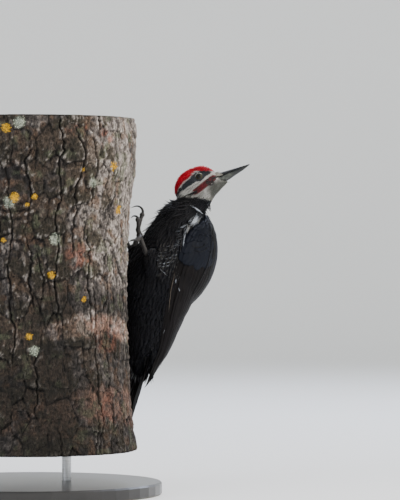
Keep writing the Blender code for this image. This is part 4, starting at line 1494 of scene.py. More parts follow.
def build_claws(material):
    """Long curved claws, darker towards their points."""
    for side in SIDES:
        foot = Surface(node_mesh("foot_" + side))
        for toe in TOES:
            node = f"claw_{side}_{toe}"
            mesh = smooth_copy(node, 2)
            points = points_of(mesh)
            gaps = foot.gap(points)
            share = gaps / gaps.max()
            paint = mix(np.tile(colour("#2b2a28"), (len(points), 1)), "#0f0e0e", ease(share, 0.0, 0.6))
            swell = CLAW_SWELL * ease(share, 1.0, 0.7) * ease(share, 0.0, 0.25)
            place_points(mesh, points + Surface(mesh).normals * swell[:, None])
            set_points(mesh, "horn", "FLOAT_COLOR", paint)
            set_points(mesh, "grain", "FLOAT_VECTOR", points / [2.5, 1.2, 2.5])
            settle(node + "_sheath", mesh, material, "claw_horn", node)


# ---- trunk perch

PERCH_LOW, PERCH_HIGH = (corner.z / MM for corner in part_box("stand_perch"))
BARK_COLUMNS, BARK_ROWS = 560, 290
BARK_THICK = 11.0
SHADED_SIDE = math.radians(-110)  # the trunk's browner side, which is also painted darker as painted shade
AROUND = math.tau * 130  # the trunk's skin laid flat, in millimetres
KNOT_TURN, KNOT_HEIGHT = -116, 362  # a healed knot: degrees round the trunk, and height
BARK_INNER_ROWS = 6


def perch_outline():
    """Heights up the trunk and its radius at each, from the CAD perch."""
    points = points_of(node_mesh("stand_perch"))
    radius = np.hypot(points[:, 0], points[:, 1])
    heights = np.unique(np.round(points[:, 2], 1))
    radii = [radius[np.abs(points[:, 2] - h) < 0.1].max() for h in heights]
    kept = np.array(radii) > 100
    return heights[kept], np.array(radii)[kept]


def cells(s, z, wide, tall, seed):
    """Cells round the trunk: distance to the cell's edge, a value of its own, and the height within it."""
    columns = max(3, round(AROUND / wide))
    wide = AROUND / columns
    x, y = s / wide, z / tall
    i, j = np.floor(x).astype(np.int64), np.floor(y).astype(np.int64)
    first = np.full(x.shape, 1e9)
    second = np.full(x.shape, 1e9)
    own, high = np.zeros_like(x), np.zeros_like(x)
    for di in (-1, 0, 1):
        for dj in (-1, 0, 1):
            corner = np.stack([(i + di) % columns, j + dj, 0 * i], -1)
            px = i + di + 0.15 + 0.7 * lattice(corner, seed)
            py = j + dj + 0.15 + 0.7 * lattice(corner, seed + 1)
            gap = np.hypot(x - px, y - py)
            nearer = gap < first
            second = np.where(nearer, first, np.minimum(second, gap))
            own = np.where(nearer, lattice(corner, seed + 2), own)
            high = np.where(nearer, y - py, high)
            first = np.where(nearer, gap, first)
    return (second - first) * wide / 2, own, high


LICHEN_GOLD = (  # angle round the trunk, height, size
    (-56, 417, 5.5), (-45, 363, 5.5), (-115, 377, 6), (-119, 463, 5.5), (-104, 378, 3.5), (-107, 205, 4),
    (-127, 449, 5), (-77, 412, 2.5), (-122, 324, 3), (-94, 281, 4.5), (-73, 250, 3), (-108, 368, 2.5),
    (20, 300, 5), (75, 390, 6), (140, 240, 5.5), (100, 150, 4), (170, 420, 5), (-160, 180, 5), (-150, 330, 4))
LICHEN_GREY = ((-104, 187, 6), (-92, 325, 6.5), (-118, 372, 7), (-70, 396, 6), (40, 220, 9), (120, 330, 8),
    (-170, 270, 8), (-112, 470, 7))
RUST_PATCHES = ((-76, 305, 20, 17), (-80, 463, 17, 8), (-56, 198, 22, 15), (-56, 107, 22, 26),
    (-62, 452, 12, 12), (60, 260, 22, 18), (150, 400, 20, 14), (-170, 130, 20, 16))


def spots(turn, height, radius, places):
    """How strongly each place lies in one of the round spots, 0 to 1."""
    total = np.zeros_like(turn)
    for angle, level, size, *tall in places:
        across = (np.degrees(turn) - angle + 180) % 360 - 180
        away = np.hypot(np.radians(across) * radius / size, (height - level) / (tall[0] if tall else size))
        total = np.maximum(total, ease(away, 1.35, 0.55))
    return total


def bark_fields(sizes):
    """The bark's outer points, its colours, and where the two lichens grow."""
    heights, radii = perch_outline()
    turn = np.linspace(0, math.tau, BARK_COLUMNS, endpoint=False)[None]
    height = np.linspace(PERCH_LOW, PERCH_HIGH, BARK_ROWS)[:, None]
    turn, height = np.broadcast_arrays(turn, height)
    radius = np.interp(height, heights, radii)
    flat = np.stack([radius * np.cos(turn), radius * np.sin(turn), height], -1)
    warp = layered(flat, (42, 42, 60), 2, 1) * 7 + noise(flat, (10, 10, 14), 4) * 1.5
    s = (turn / math.tau * AROUND + warp) % AROUND
    pitch = AROUND / sizes.cracks
    index = np.floor(s / pitch).astype(np.int64)
    nearest, strength = np.full(s.shape, 1e9), np.zeros_like(s)
    for step in (-1, 0, 1, 2):
        which = (index + step) % sizes.cracks
        line = (index + step + 0.7 * (lattice(np.stack([which, 0 * which, 0 * which], -1), 3) - 0.5)) * pitch
        sway, wobble, own = (noise(np.stack([which * apart, 0 * s, height], -1), (1, 1, tall), seed)
            for apart, tall, seed in ((7.7, 34, 6), (5.1, 5.5, 19), (3.3, 70, 8)))
        gap = np.abs(s - (line + 5 * sway + 1.5 * wobble))
        own = ease(own, -0.5, 0.25)
        strength = np.where(gap < nearest, own, strength)
        nearest = np.minimum(nearest, gap)
    slab, slab_own, slab_high = cells(s, height + 9 * noise(flat, 30, 12), 24, 46, 20)
    chip, chip_own, chip_high = cells(
        s + 3 * noise(flat, 7, 14), height + 5 * noise(flat, 8, 15), 8, 14, 30)
    flake, flake_own, flake_high = cells(
        s + 2 * noise(flat, 4, 16), height + 3 * noise(flat, 4, 17), 4.2, 6.5, 40)
    knot_turn = ((np.degrees(turn) - KNOT_TURN + 180) % 360 - 180) * math.radians(1) * radius
    knot = ease(np.hypot(knot_turn / 34, (height - KNOT_HEIGHT) / 17), 1.3, 0.5)
    folds = np.sin((height - KNOT_HEIGHT - knot_turn ** 2 * 0.008) * math.tau / 9.5)
    crack = np.exp(-(nearest / 0.9) ** 2) * strength
    lips = np.exp(-((nearest - 2.6) / 1.2) ** 2) * strength
    seam = np.exp(-(slab / 0.8) ** 2) * ease(noise(flat, (18, 18, 24), 18), -0.3, 0.3)
    ragged = layered(flat, (7, 7, 9), 3, 50)
    depth = 2.6 + 3.0 * crack - 0.9 * lips + 1.6 * seam * (1 - knot)
    depth = depth + 1.4 * slab_high * (1 - knot) - 2.0 * (slab_own - 0.5)
    depth = depth - 1.2 * (chip_own - 0.5) + 0.6 * np.exp(-(chip / 0.6) ** 2) + 0.5 * chip_high
    depth = depth - 0.7 * (flake_own - 0.5) + 0.3 * np.exp(-(flake / 0.45) ** 2) + 0.35 * flake_high
    depth = depth - 1.0 * ragged - 0.6 * noise(flat, (2.6, 2.6, 3.6), 60) - 1.2 * folds * knot
    rim = ease(height, PERCH_LOW + 3, PERCH_LOW) + ease(height, PERCH_HIGH - 3, PERCH_HIGH)
    depth = np.clip(depth, 0.15, 9) + 1.5 * rim
    place = radius - depth
    points = np.stack([place * np.cos(turn), place * np.sin(turn), height], -1)
    level = depth.copy()
    for _ in range(6):
        level = (level + np.roll(level, 2, 0) + np.roll(level, -2, 0) + np.roll(level, 2, 1)
            + np.roll(level, -2, 1)) / 5
    hollow = depth - level

    slope = height + 14 * np.sin(turn * 2 + 0.6) + 10 * noise(flat, (40, 40, 30), 71)
    # facing is 1 on the shaded side: browner there in the bark's own colour, and darker there in painted
    # shade
    facing = 0.5 + 0.5 * np.cos(turn - SHADED_SIDE)
    on_shaded_side = ease(facing, 0.84, 0.96)
    # night: darker low down, in random patches and in a band on the right, all laid on below as painted shade
    night = ease(slope, 196, 160) * (1 - 0.75 * ease(np.abs(slope - 105), 30, 16) * (1 - on_shaded_side))
    night = np.maximum(night, 0.5 * ease(layered(flat, (36, 36, 40), 2, 73), 0.2, 0.6))
    dark_band = 1.2 * ease(slope, 268, 236) * ease(np.abs(slope - 207), 9, 18)
    night = np.maximum(night, dark_band * ease(np.cos(turn + 0.6), 0.1, 0.5))
    rosy = np.maximum(ease(np.abs(slope - 207), 17, 7), ease(np.abs(slope - 105), 25, 14))
    rosy = rosy * ease(ragged, -0.5, 0.2) * (1 - 0.85 * on_shaded_side)
    tone = 0.5 + 0.25 * layered(flat, (30, 30, 40), 3, 70)
    tone = tone + 0.25 * (chip_own - 0.5) + 0.45 * (flake_own - 0.5)
    brown = ease(slab_own + 0.4 * layered(flat, (24, 24, 18), 3, 77) + 3.0 * (facing - 0.93), 0.3, 0.5)
    mossy = brown * ease(slab_high + 0.3 * noise(flat, (5, 5, 4), 78), 0.05, -0.2)
    # painted shade: the tone is lowered where night is and on the shaded side
    tone = tone + 0.3 * noise(flat, (4, 4, 5), 75) - 0.2 * night + 0.12 - 0.26 * ease(facing, 0.86, 0.97)
    dark, middle, pale, rosy_brown, rust_red = held(sizes, "dark middle pale rosy rust")

    rust = spots(turn, height, radius, RUST_PATCHES) * ease(layered(flat, (7, 7, 9), 3, 85), -0.35, 0.35)
    # painted shade: darker low down and on the shaded side
    shade = (1 - 0.45 * night) * (1.0 - 0.48 * ease(facing, 0.84, 0.99))
    gold, grey = (spots(turn, height, radius, places) for places in (LICHEN_GOLD, LICHEN_GREY))
    paint = np.tile(middle, (turn.size, 1))
    coats = (
        (dark, ease(tone, 0.5, 0.15) * 0.9),
        (pale, ease(tone, 0.5, 0.85) * (1 - 0.45 * night)),
        ("#5f4938", ease(layered(flat, (11, 11, 12), 2, 80), 0.2, 0.6) * 0.6),  # flakes newly bared
        ("#463a2e", brown * 0.7),
        ("#26241b", mossy * 0.75),
        (rosy_brown, rosy * 0.6),
        (rust_red, rust * 0.65),
        ("#4e5440", ease(layered(flat, (14, 14, 12), 3, 90), 0.3, 0.8) * 0.55),  # green film of algae
        ("#aca49d", ease(hollow, -0.8, -1.9) * (0.6 - 0.3 * night)),  # painted highlight on raised edges
        ("#15110f", ease(hollow, 0.2, 1.3) * 0.88),  # painted shade in the hollows
        # painted shade in the cracks and along the seams
        ("#0f0c0b", np.clip(crack ** 2 + seam * 0.5, 0, 1) * 0.9),
        # painted shade, mixed in as black
        (0, 1 - shade),
        ("#9a7a1c", gold * 0.6),
        ("#8c9486", grey * 0.45))
    for tint, share in coats:
        paint = mix(paint, tint, share.reshape(-1))
    return points, paint, gold, grey


def bark_finish():
    """Rough cork bark, weathered by rain and sun: quite matt, with dusty grain finer than the mesh."""
    # chalky and dull, speckled down to the smallest flake; the black in the cracks is painted shade
    material, tree = finish("weathered bark", Roughness=0.88, Specular_IOR_Level=0.3)
    paint = add_node(tree, "Attribute", "bark")
    stretch = add_node(tree, "Mapping", Vector=add_node(tree, "TexCoord").outputs["Object"],
        Scale=(1, 1, 0.55))
    grain = add_node(tree, "TexNoise", grain=2.4, Vector=stretch, Detail=6.0, Roughness=0.75)
    shade = add_node(tree, "MapRange", i0=grain, i1=0.36, i2=0.64, i3=0.25, i4=1.75)
    bent = add_node(tree, "VectorMath", "MULTIPLY_ADD",
        i0=grain.outputs["Color"], i1=(2.5 * MM,) * 3, i2=stretch)
    web = add_node(tree, "TexVoronoi", grain=6.5, Vector=bent, setting={"feature": "DISTANCE_TO_EDGE"})
    rim = add_node(tree, "MapRange", i0=web.outputs["Distance"], i1=0.0, i2=0.09, i3=1.6, i4=1.0)
    lit = add_node(tree, "Math", "MULTIPLY", i0=shade, i1=rim)
    tone = add_node(tree, "VectorMath", "SCALE", i0=paint, Scale=lit)
    dress(tree, tone, grain, 1.0, 1.6)
    return material


def wood_finish():
    """Sawn end grain of a conifer: a ring every few millimetres, fine saw marks, and a darker heart."""
    # pale wood with dark late rings, a little dusty
    material, tree = finish("sawn end grain", Roughness=0.72)
    where = add_node(tree, "TexCoord").outputs["Object"]
    warp = add_node(tree, "TexNoise", grain=60, Detail=3.0)
    flat = add_node(tree, "VectorMath", "MULTIPLY", i0=where, i1=(1.0, 1.0, 0.0))
    reach = add_node(tree, "VectorMath", "LENGTH", i0=flat)
    wavy = add_node(tree, "Math", "MULTIPLY_ADD", i0=warp, i1=14 * MM, i2=reach.outputs["Value"])
    turns = add_node(tree, "Math", "MULTIPLY", i0=wavy, i1=1 / (4.2 * MM))
    part = add_node(tree, "Math", "FRACT", i0=turns)
    rings = add_node(tree, "ValToRGB",
        stops=((0.0, "#b99a6f"), (0.55, "#a9845a"), (0.85, "#6e4c2c"), (1.0, "#ad8c60")), i0=part)
    heart = add_node(tree, "ValToRGB", stops=((0.0, "#8a6443"), (0.055, "#b08a63"), (0.09, "#ffffff"),
        (1.0, "#ffffff")), i0=reach.outputs["Value"])
    dusty = add_node(tree, "ValToRGB", stops=((0.35, "#b8b0a8"), (0.6, "#ffffff")),
        i0=add_node(tree, "TexNoise", grain=18, Detail=5.0))
    warm = add_node(tree, "VectorMath", "MULTIPLY", i0=rings, i1=heart)
    worn = add_node(tree, "VectorMath", "MULTIPLY", i0=warm, i1=dusty)
    dress(tree, worn, add_node(tree, "TexWave", grain=12, Distortion=2.0, Detail=2.0).outputs[1], 0.2, 0.3)
    return material


def lichen_tree(name, density, spacing, grain, material):
    """Geometry Nodes: crusty grains scattered where a point attribute of the bark says, made real."""
    tree = bpy.data.node_groups.new(name, "GeometryNodeTree")
    tree.interface.new_socket("Geometry", in_out="INPUT", socket_type="NodeSocketGeometry")
    for label, start in (("Spacing", spacing), ("Grain Size", grain)):
        tree.interface.new_socket(label, in_out="INPUT", socket_type="NodeSocketFloat").default_value = start
    tree.interface.new_socket("Geometry", in_out="OUTPUT", socket_type="NodeSocketGeometry")
    given = add_node(tree, "NodeGroupInput")
    where = add_node(tree, "GeometryNodeInputNamedAttribute", {"data_type": "FLOAT"}, Name=density)
    spread = add_node(tree, "GeometryNodeDistributePointsOnFaces", {"distribute_method": "POISSON"},
        Mesh=given, Distance_Min=given.outputs[1], Density_Max=2.0e6, Density_Factor=where, Seed=4)
    grain_ball = add_node(tree, "GeometryNodeMeshIcoSphere", Radius=given.outputs[2], Subdivisions=1)
    size = add_node(tree, "FunctionNodeRandomValue", {"data_type": "FLOAT_VECTOR"}, i0=(0.5, 0.6, 0.15),
        i1=(1.8, 1.5, 0.5), Seed=7)
    placed = add_node(tree, "GeometryNodeInstanceOnPoints", Points=spread, Instance=grain_ball,
        Rotation=spread.outputs[2], Scale=size)
    real = add_node(tree, "GeometryNodeRealizeInstances", Geometry=placed)
    painted = add_node(tree, "GeometryNodeSetMaterial", Geometry=real, Material=material)
    add_node(tree, "NodeGroupOutput", i0=painted)
    return tree


def lichen_finish(name, pale, deep):
    """Dry crust of lichen: chalky, its colour uneven from grain to grain."""
    # dull and powdery, each grain a little different
    material, tree = finish(name, Roughness=0.95, Specular_IOR_Level=0.2)
    dress(tree, add_node(tree, "ValToRGB", stops=((0.35, deep), (0.65, pale)),
        i0=add_node(tree, "TexNoise", grain=1.6, Detail=3.0)))
    return material


def bark_shell(name, points, radii, heights, marks, material):
    """One closed shell of bark: its rough outer face, a plain inner one, and flat rims joining them."""
    levels = np.linspace(points[-1, 0, 2], points[0, 0, 2], BARK_INNER_ROWS)
    inside = spun(np.interp(levels, heights, radii) - BARK_THICK, levels, BARK_COLUMNS)
    rows = np.concatenate([points, inside])
    i = np.arange(BARK_COLUMNS)
    after, last = (i + 1) % BARK_COLUMNS, (len(rows) - 1) * BARK_COLUMNS
    mesh = make_mesh(name, rows.reshape(-1, 3), ring_faces(len(rows), BARK_COLUMNS),
        np.stack([last + i, last + after, after, i], 1))
    extra = inside.shape[0] * BARK_COLUMNS
    for label, kind, values, inner_value in marks:
        flat = values.reshape(len(points) * BARK_COLUMNS, -1)
        table = np.concatenate([flat, np.tile(inner_value, (extra, 1))])
        set_points(mesh, label, kind, table if kind == "FLOAT_COLOR" else table[:, 0])
    mesh.polygons.foreach_set("use_smooth", np.zeros(len(mesh.polygons), bool))
    settle(name, mesh, material, "bark", "stand_perch")
    return mesh


def build_perch(sizes):
    """Two closed shells of cracked and flaking bark, sawn wood inside them, and crusts of lichen on them."""
    points, paint, gold, grey = bark_fields(sizes)
    paint = paint.reshape(*points.shape[:2], 3)
    heights, radii = perch_outline()
    material, middle = bark_finish(), len(points) // 2
    gold_crust = lichen_finish("gold lichen", "#d9a51f", "#8a6a1a")
    grey_crust = lichen_finish("grey lichen", "#b7bfae", "#737a68")
    for part, rows in (("low", slice(0, middle + 1)), ("high", slice(middle, None))):
        mesh = bark_shell("stand_bark_" + part, points[rows], radii, heights,
            (("bark", "FLOAT_COLOR", paint[rows], colour("#7a6048")), ("gold", "FLOAT", gold[rows], [0.0]),
            ("grey", "FLOAT", grey[rows] * 0.7, [0.0])), material)
        for kind, grain, crust in (("gold", 0.75 * MM, gold_crust), ("grey", 0.6 * MM, grey_crust)):
            tree = lichen_tree(f"lichen {kind} {part}", kind, sizes.lichen_spacing, grain, crust)
            grains = modified(mesh.copy(), ("NODES", {"node_group": tree}))
            settle(f"stand_lichen_{kind}_{part}", grains, None, "bark")
    levels = np.array([PERCH_LOW, *np.linspace(PERCH_LOW + 6, PERCH_HIGH - 6, 30), PERCH_HIGH])
    sides = np.interp(levels, heights, radii) - BARK_THICK + 0.4  # a little into the bark
    shares = np.array([0.02, 0.3, 0.6, 0.9, 0.99])
    radii = np.concatenate([shares * sides[0], sides, shares[::-1] * sides[-1]])
    levels[[0, -1]] += [1.2, -1.2]
    levels = np.concatenate([[PERCH_LOW + 0.6] * 5, levels, [PERCH_HIGH - 0.6] * 5])
    settle("stand_wood", make_mesh("stand_wood", *spun_solid(radii, levels, 160)), wood_finish(), "bark")


def build_stand():
    """Black lacquered base and brushed steel rods, on the CAD nodes."""
    # near-black with a soft broad shine over faint wood grain
    lacquer, tree = finish("satin black lacquer on wood", Roughness=0.34, Coat_Weight=0.35,
        Coat_Roughness=0.2)
    cloud = add_node(tree, "ValToRGB", stops=((0.3, "#141312"), (0.7, "#201e1d")),
        i0=add_node(tree, "TexNoise", grain=35, Detail=5.0))
    grain = add_node(tree, "Mapping", Vector=add_node(tree, "TexCoord").outputs["Object"],
        Scale=(1.0, 14.0, 1.0))
    dress(tree, cloud, add_node(tree, "TexNoise", grain=40, Vector=grain, Detail=5.0), 0.12, 0.3)
    # pale metal whose highlight is drawn out by its lines, coarser than real ones so that they show
    steel, tree = finish("brushed steel", Metallic=1.0, Roughness=0.32)
    fine = add_node(tree, "Mapping", Vector=add_node(tree, "TexCoord").outputs["Object"],
        Scale=(0.05, 0.05, 1.0))
    brush = add_node(tree, "TexNoise", grain=0.5, Vector=fine, Detail=3.0)
    tone = add_node(tree, "ValToRGB", stops=((0.3, "#a9abad"), (0.7, "#cfd0d1")), i0=brush)
    dress(tree, tone, brush, 0.2, 0.1)
    for node, material in (("stand_base", lacquer), ("stand_rod_back", steel), ("stand_rod_front", steel)):
        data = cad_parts[node].data
        data.materials.clear()
        data.materials.append(material)


# ---- floor, light and camera


FLAT_REACH, BEND = 5.2, 2.2  # the flat floor's radius, and that of its sweep up into the wall, in metres


def build_stage(settings):
    """A pale floor that sweeps up all round, soft lights, and the camera at the bird's side."""
    # an even pale ground with no shine of its own, given a glow that grows away from the stand: painted light
    # on the far wall
    paper, tree = finish("matt pale backdrop paper with painted glow", Roughness=0.95, Specular_IOR_Level=0.1)
    faint = add_node(tree, "TexNoise", grain=1430, Detail=2.0)
    reach = add_node(tree, "VectorMath", "LENGTH", i0=add_node(tree, "TexCoord").outputs["Object"])
    # painted light: the paper glows more the farther it is from the stand
    lift = add_node(tree, "MapRange", i0=reach.outputs["Value"], i1=1.0, i2=7.0, i3=0.0, i4=settings.wall)
    dress(tree, add_node(tree, "ValToRGB", stops=((0.3, "#e6e7e6"), (0.7, "#eaebea")), i0=faint))
    tree.links.new(lift.outputs[0], tree.nodes["Principled BSDF"].inputs["Emission Strength"])
    bend = np.radians(np.arange(8, 91, 8))
    radii = np.concatenate([np.linspace(0.02, FLAT_REACH, 14), FLAT_REACH + BEND * np.sin(bend),
        [FLAT_REACH + BEND]])
    levels = np.concatenate([np.zeros(14), BEND * (1 - np.cos(bend)), [BEND + 0.4]])
    floor = make_mesh("floor", spun(radii / MM, levels / MM, 96).reshape(-1, 3), ring_faces(len(radii), 96),
        np.arange(96)[None])
    make_piece("floor", floor, paper)

    turn = math.radians(settings.azimuth)
    right, ahead = Vector((math.cos(turn), math.sin(turn), 0)), Vector((-math.sin(turn), math.cos(turn), 0))
    target = right * settings.across + ahead * 0.065 + Vector((0, 0, settings.level))
    camera = bpy.data.objects.new("camera", bpy.data.cameras.new("camera"))
    camera.data.lens = settings.lens
    camera.data.sensor_width = 36
    camera.data.clip_end = 40
    camera.location = target - ahead * settings.distance
    camera.rotation_euler = (target - camera.location).to_track_quat("-Z", "Y").to_euler()
    bpy.context.scene.collection.objects.link(camera)
    bpy.context.scene.camera = camera

    for name, place, size, power, tint in (
            ("soft key from the open side", right * 2.2 - ahead * 1.6 + Vector((0, 0, 2.4)), 2.2,
             settings.key, "#fff6ea"),
            ("sky over the far side", right * 0.8 + ahead * 2.2 + Vector((0, 0, 2.2)), 2.0, settings.rim,
             "#dfe8ff"),
            ("fill from the trunk side", -right * 2.4 - ahead * 2.2 + Vector((0, 0, 1.2)), 2.4, settings.fill,
             "#eef2ff")):
        lamp = bpy.data.lights.new(name, "AREA")
        lamp.size, lamp.energy, lamp.color = size, power, hex_linear(tint)
        light = bpy.data.objects.new(name, lamp)
        light.location = target + place
        light.rotation_euler = (-place).to_track_quat("-Z", "Y").to_euler()
        bpy.context.scene.collection.objects.link(light)

    world = bpy.data.worlds.new("soft studio")
    world.use_nodes = True
    world.node_tree.nodes["Background"].inputs[0].default_value = (*hex_linear("#dfe3e6"), 1)
    world.node_tree.nodes["Background"].inputs[1].default_value = settings.ambient
    bpy.context.scene.world = world


# ---- add-on


def tint(label, what, code):
    """A colour, given as hex text."""
    return FloatVectorProperty(name=label, description=what, default=hex_linear(code), subtype="COLOR",
        min=0, max=1)


def length(label, what, size):
    """A length, given in millimetres."""
    return FloatProperty(name=label, description=what, default=size * MM, unit="LENGTH", precision=5)


def number(label, what, value, **more):
    return FloatProperty(name=label, description=what, default=value, **more)


class WoodpeckerColours(bpy.types.PropertyGroup):
    black: tint("Black", "Body, neck and moustache", "#111114")
    mask: tint("Mask", "Slaty band through the eye", "#2e3136")
    red: tint("Crown Red", "Crown and crest", "#b80b24")
    red_deep: tint("Deep Red", "Shaded lower edge of the crest", "#5e0a10")
    malar: tint("Malar Red", "Stripe behind the bill's corner", "#640c17")
    white: tint("White", "Brow and cheek stripes", "#c6c6c2")
    strand: tint("Pale Strands", "Loose strands of shoulder, flank and wing", "#c4ccd6")
    # throat is painted shade: a dark grey-green for the pale chin and throat in the shade under the head; it
    # also greys the face and darkens the cheek's streaks
    throat: tint("Throat", "Chin and the streaks of the cheek", "#474943")
    fringe: tint("Fringe", "Pale tips of the flank feathers", "#a9a79f")


class WoodpeckerCoat(bpy.types.PropertyGroup):
    face_spacing: length("Face Spacing", "Between roots on the face", 0.95)
    crown_spacing: length("Crown Spacing", "Between roots on the crown", 0.85)
    crest_reach: length("Crest Reach", "Added length of the crest's strands", 7.5)
    neck_scale: number("Neck Spacing", "Scale of the gaps between neck strands", 1.0)
    trunk_spacing: length("Trunk Spacing", "Between roots on the trunk", 3.3)
    barbs: IntProperty(name="Barbs", description="Loose barbs over each feather of the trunk", default=14)


class WoodpeckerWing(bpy.types.PropertyGroup):
    remex_width: length("Flight Feather Width", "Widest part of a flight feather", 16.5)
    covert_width: length("Covert Width", "Widest part of a great covert", 17.5)
    tilt: number("Tilt", "How steeply each feather's edge laps over the next", 0.07)
    flight: tint("Flight Feathers", "Brown-black of wing and tail", "#0f0d0e")
    shaft: tint("Shafts", "Quills and worn edges of the flight feathers", "#1c1816")
    covert: tint("Coverts", "Blue-black of the wing's coverts", "#12151d")
    scapular: tint("Scapulars", "Glossy feathers of the shoulder and mantle", "#11131c")


class WoodpeckerBill(bpy.types.PropertyGroup):
    horn: tint("Horn", "Dark upper half", "#1f2225")
    band: tint("Band", "Sheen under the keel", "#8b8e91")
    pale: tint("Pale Horn", "Middle of the lower half", "#73776e")
    tuft: tint("Nostril Tufts", "Bristles over the nostrils", "#85837c")


class WoodpeckerEye(bpy.types.PropertyGroup):
    pupil: number("Pupil", "Pupil's share of the ball's radius", 0.56, min=0.2, max=0.7, subtype="FACTOR")
    bulge: length("Cornea", "How far the cornea stands out", 0.3)
    iris: tint("Iris", "Olive ring round the pupil", "#47442c")


class WoodpeckerFeet(bpy.types.PropertyGroup):
    scute: length("Scute Length", "Length of each scale along shank and toes", 1.9)
    leg: tint("Leg Skin", "Middle tone of shanks and toes", "#2f2d2c")


class WoodpeckerPerch(bpy.types.PropertyGroup):
    cracks: IntProperty(name="Cracks", description="Long cracks round the trunk", default=40, min=8)
    lichen_spacing: length("Lichen Spacing", "Between grains of lichen", 1.0)
    # dark: the darkest flakes, more of them where painted shade lowers the tone
    dark: tint("Dark Bark", "Sheltered and damp flakes", "#23201e")
    middle: tint("Bark", "Most of the bark", "#4d4744")
    pale: tint("Pale Bark", "Weathered faces of the flakes", "#877f79")
    rosy: tint("Rosy Bark", "Bands of fresher bark", "#8b6a5c")
    rust: tint("Rust", "Patches where bark has come away", "#75493a")


class WoodpeckerStage(bpy.types.PropertyGroup):
    azimuth: number("Azimuth", "Turn of the view round the bird, in degrees", -20)
    across: length("Across", "How far right of the trunk's axis the view looks", 218.4)
    level: length("Level", "Height that the camera looks at", 312)
    distance: length("Distance", "Camera to target", 4000)
    lens: number("Lens", "Focal length in millimetres", 221.5)
    key: number("Key Light", "Power of the main light in watts", 190)
    rim: number("Sky Light", "Power of the light behind in watts", 110)
    fill: number("Fill Light", "Power of the fill light in watts", 55)
    # strength of the glow painted into the backdrop far from the stand
    wall: number("Wall Light", "Light of the backdrop far from the stand", 0.22)
    ambient: number("Ambient", "Strength of the light all round", 0.85)


built = {}  # what one operator leaves for the next


FEATHERS = {  # name, roughness, sheen, barb spacing, relief, contrast, gloss
    "soft": ("soft body feathers", 0.44, 0.05, 0.5, 0.1, 0.05, 0.17),
    "stiff": ("stiff wing and tail feathers", 0.5, 0.0, 0.55, 0.2, 0.05, 0.08),
}


def feathers(kind):
    """The finish of soft or stiff feathers, made the first time it is asked for."""
    if kind not in built:
        built[kind] = plumage(*FEATHERS[kind])
    return built[kind]


class WOODPECKER_OT_stage(bpy.types.Operator):
    """Adds the floor, the lights and the camera"""

    bl_idname = "woodpecker.stage"
    bl_label = "Stage"

    def execute(self, context):
        build_stage(context.scene.woodpecker_stage)
        return {"FINISHED"}


class WOODPECKER_OT_perch(bpy.types.Operator):
    """Adds the bark, the sawn wood inside it and the lichen on it"""

    bl_idname = "woodpecker.perch"
    bl_label = "Trunk Perch"

    def execute(self, context):
        build_perch(context.scene.woodpecker_perch)
        return {"FINISHED"}


class WOODPECKER_OT_stand(bpy.types.Operator):
    """Finishes the lacquered base and the steel rods"""

    bl_idname = "woodpecker.stand"
    bl_label = "Stand"

    def execute(self, context):
        build_stand()
        return {"FINISHED"}


class WOODPECKER_OT_skin(bpy.types.Operator):
    """Adds the one skin of head, neck, trunk, thighs and arms"""

    bl_idname = "woodpecker.skin"
    bl_label = "Skin"

    def execute(self, context):
        built["envelope"] = build_skin()
        return {"FINISHED"}


class WOODPECKER_OT_head_coat(bpy.types.Operator):
    """Adds the feathers of face and crown"""

    bl_idname = "woodpecker.head_coat"
    bl_label = "Head Coat"

    def execute(self, context):
        build_head_coat(built["envelope"], feathers("soft"), context.scene.woodpecker_coat)
        return {"FINISHED"}


class WOODPECKER_OT_neck_coat(bpy.types.Operator):
    """Adds the loose strands of the neck"""

    bl_idname = "woodpecker.neck_coat"
    bl_label = "Neck Coat"

    def execute(self, context):
        build_neck_coat(built["envelope"], feathers("soft"), context.scene.woodpecker_coat)
        return {"FINISHED"}


class WOODPECKER_OT_trunk_coat(bpy.types.Operator):
    """Adds the body feathers and their barbs"""

    bl_idname = "woodpecker.trunk_coat"
    bl_label = "Trunk Coat"

    def execute(self, context):
        build_trunk_coat(built["envelope"], feathers("soft"), context.scene.woodpecker_coat)
        return {"FINISHED"}


class WOODPECKER_OT_wings(bpy.types.Operator):
    """Adds the flight feathers and coverts of both folded wings"""

    bl_idname = "woodpecker.wings"
    bl_label = "Wings"

    def execute(self, context):
        sizes = context.scene.woodpecker_wing
        built["sheets"] = [build_wing(side, feathers("stiff"), sizes) for side in SIDES]
        return {"FINISHED"}


class WOODPECKER_OT_marks(bpy.types.Operator):
    """Adds the pale strands of shoulder, flank and wing"""

    bl_idname = "woodpecker.marks"
    bl_label = "Pale Marks"

    def execute(self, context):
        build_marks(built["envelope"], built["sheets"], feathers("soft"))
        return {"FINISHED"}


class WOODPECKER_OT_tail(bpy.types.Operator):
    """Adds the stiff tail feathers"""

    bl_idname = "woodpecker.tail"
    bl_label = "Tail"

    def execute(self, context):
        build_tail(feathers("stiff"), context.scene.woodpecker_wing)
        return {"FINISHED"}


class WOODPECKER_OT_bill(bpy.types.Operator):
    """Adds the two sheaths of the bill and the nostril tufts"""

    bl_idname = "woodpecker.bill"
    bl_label = "Bill"

    def execute(self, context):
        sizes = context.scene.woodpecker_bill
        build_bill(horn("satin bill horn", 0.36, 0.25), sizes)
        build_nostril_tufts(feathers("soft"), sizes)
        return {"FINISHED"}


class WOODPECKER_OT_eyes(bpy.types.Operator):
    """Adds the wet eyeballs"""

    bl_idname = "woodpecker.eyes"
    bl_label = "Eyes"

    def execute(self, context):
        build_eyes(context.scene.woodpecker_eye)
        return {"FINISHED"}


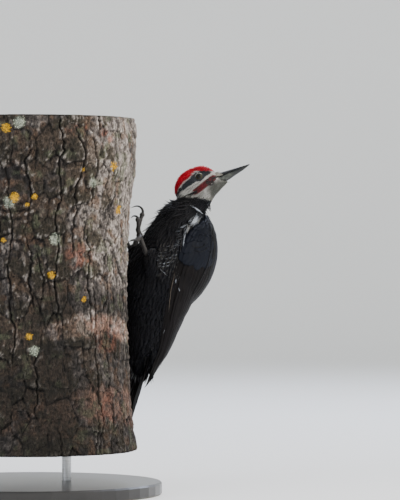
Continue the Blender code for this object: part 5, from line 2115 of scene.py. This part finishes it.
class WOODPECKER_OT_feet(bpy.types.Operator):
    """Adds the scaled skin of shanks and toes"""

    bl_idname = "woodpecker.feet"
    bl_label = "Feet"

    def execute(self, context):
        build_feet(context.scene.woodpecker_feet)
        return {"FINISHED"}


class WOODPECKER_OT_claws(bpy.types.Operator):
    """Adds the horn of the claws"""

    bl_idname = "woodpecker.claws"
    bl_label = "Claws"

    def execute(self, context):
        build_claws(horn("dark claw horn", 0.34, 0.3))
        return {"FINISHED"}


OPERATORS = (WOODPECKER_OT_stage, WOODPECKER_OT_perch, WOODPECKER_OT_stand, WOODPECKER_OT_skin,
    WOODPECKER_OT_head_coat, WOODPECKER_OT_neck_coat, WOODPECKER_OT_trunk_coat, WOODPECKER_OT_wings,
    WOODPECKER_OT_marks, WOODPECKER_OT_tail, WOODPECKER_OT_bill, WOODPECKER_OT_eyes, WOODPECKER_OT_feet,
    WOODPECKER_OT_claws)


class WOODPECKER_PT_panel(bpy.types.Panel):
    bl_label = "Woodpecker"
    bl_space_type = "VIEW_3D"
    bl_region_type = "UI"
    bl_category = "Woodpecker"

    def draw(self, context):
        for name, kind in GROUPS.items():
            for prop in kind.__annotations__:
                self.layout.prop(getattr(context.scene, name), prop)
        for kind in OPERATORS:
            self.layout.operator(kind.bl_idname)


GROUPS = {"woodpecker_colours": WoodpeckerColours,
    "woodpecker_coat": WoodpeckerCoat, "woodpecker_wing": WoodpeckerWing, "woodpecker_bill": WoodpeckerBill,
    "woodpecker_eye": WoodpeckerEye, "woodpecker_feet": WoodpeckerFeet, "woodpecker_perch": WoodpeckerPerch,
    "woodpecker_stage": WoodpeckerStage}
CLASSES = (*GROUPS.values(), *OPERATORS, WOODPECKER_PT_panel)


def register():
    for kind in CLASSES:
        bpy.utils.register_class(kind)
    for name, kind in GROUPS.items():
        setattr(bpy.types.Scene, name, PointerProperty(type=kind))


def unregister():
    for name in GROUPS:
        delattr(bpy.types.Scene, name)
    for kind in reversed(CLASSES):
        bpy.utils.unregister_class(kind)


def main():
    register()
    for kind in OPERATORS:
        getattr(bpy.ops.woodpecker, kind.bl_idname.split(".")[1])()


if __name__ == "__main__":
    main()
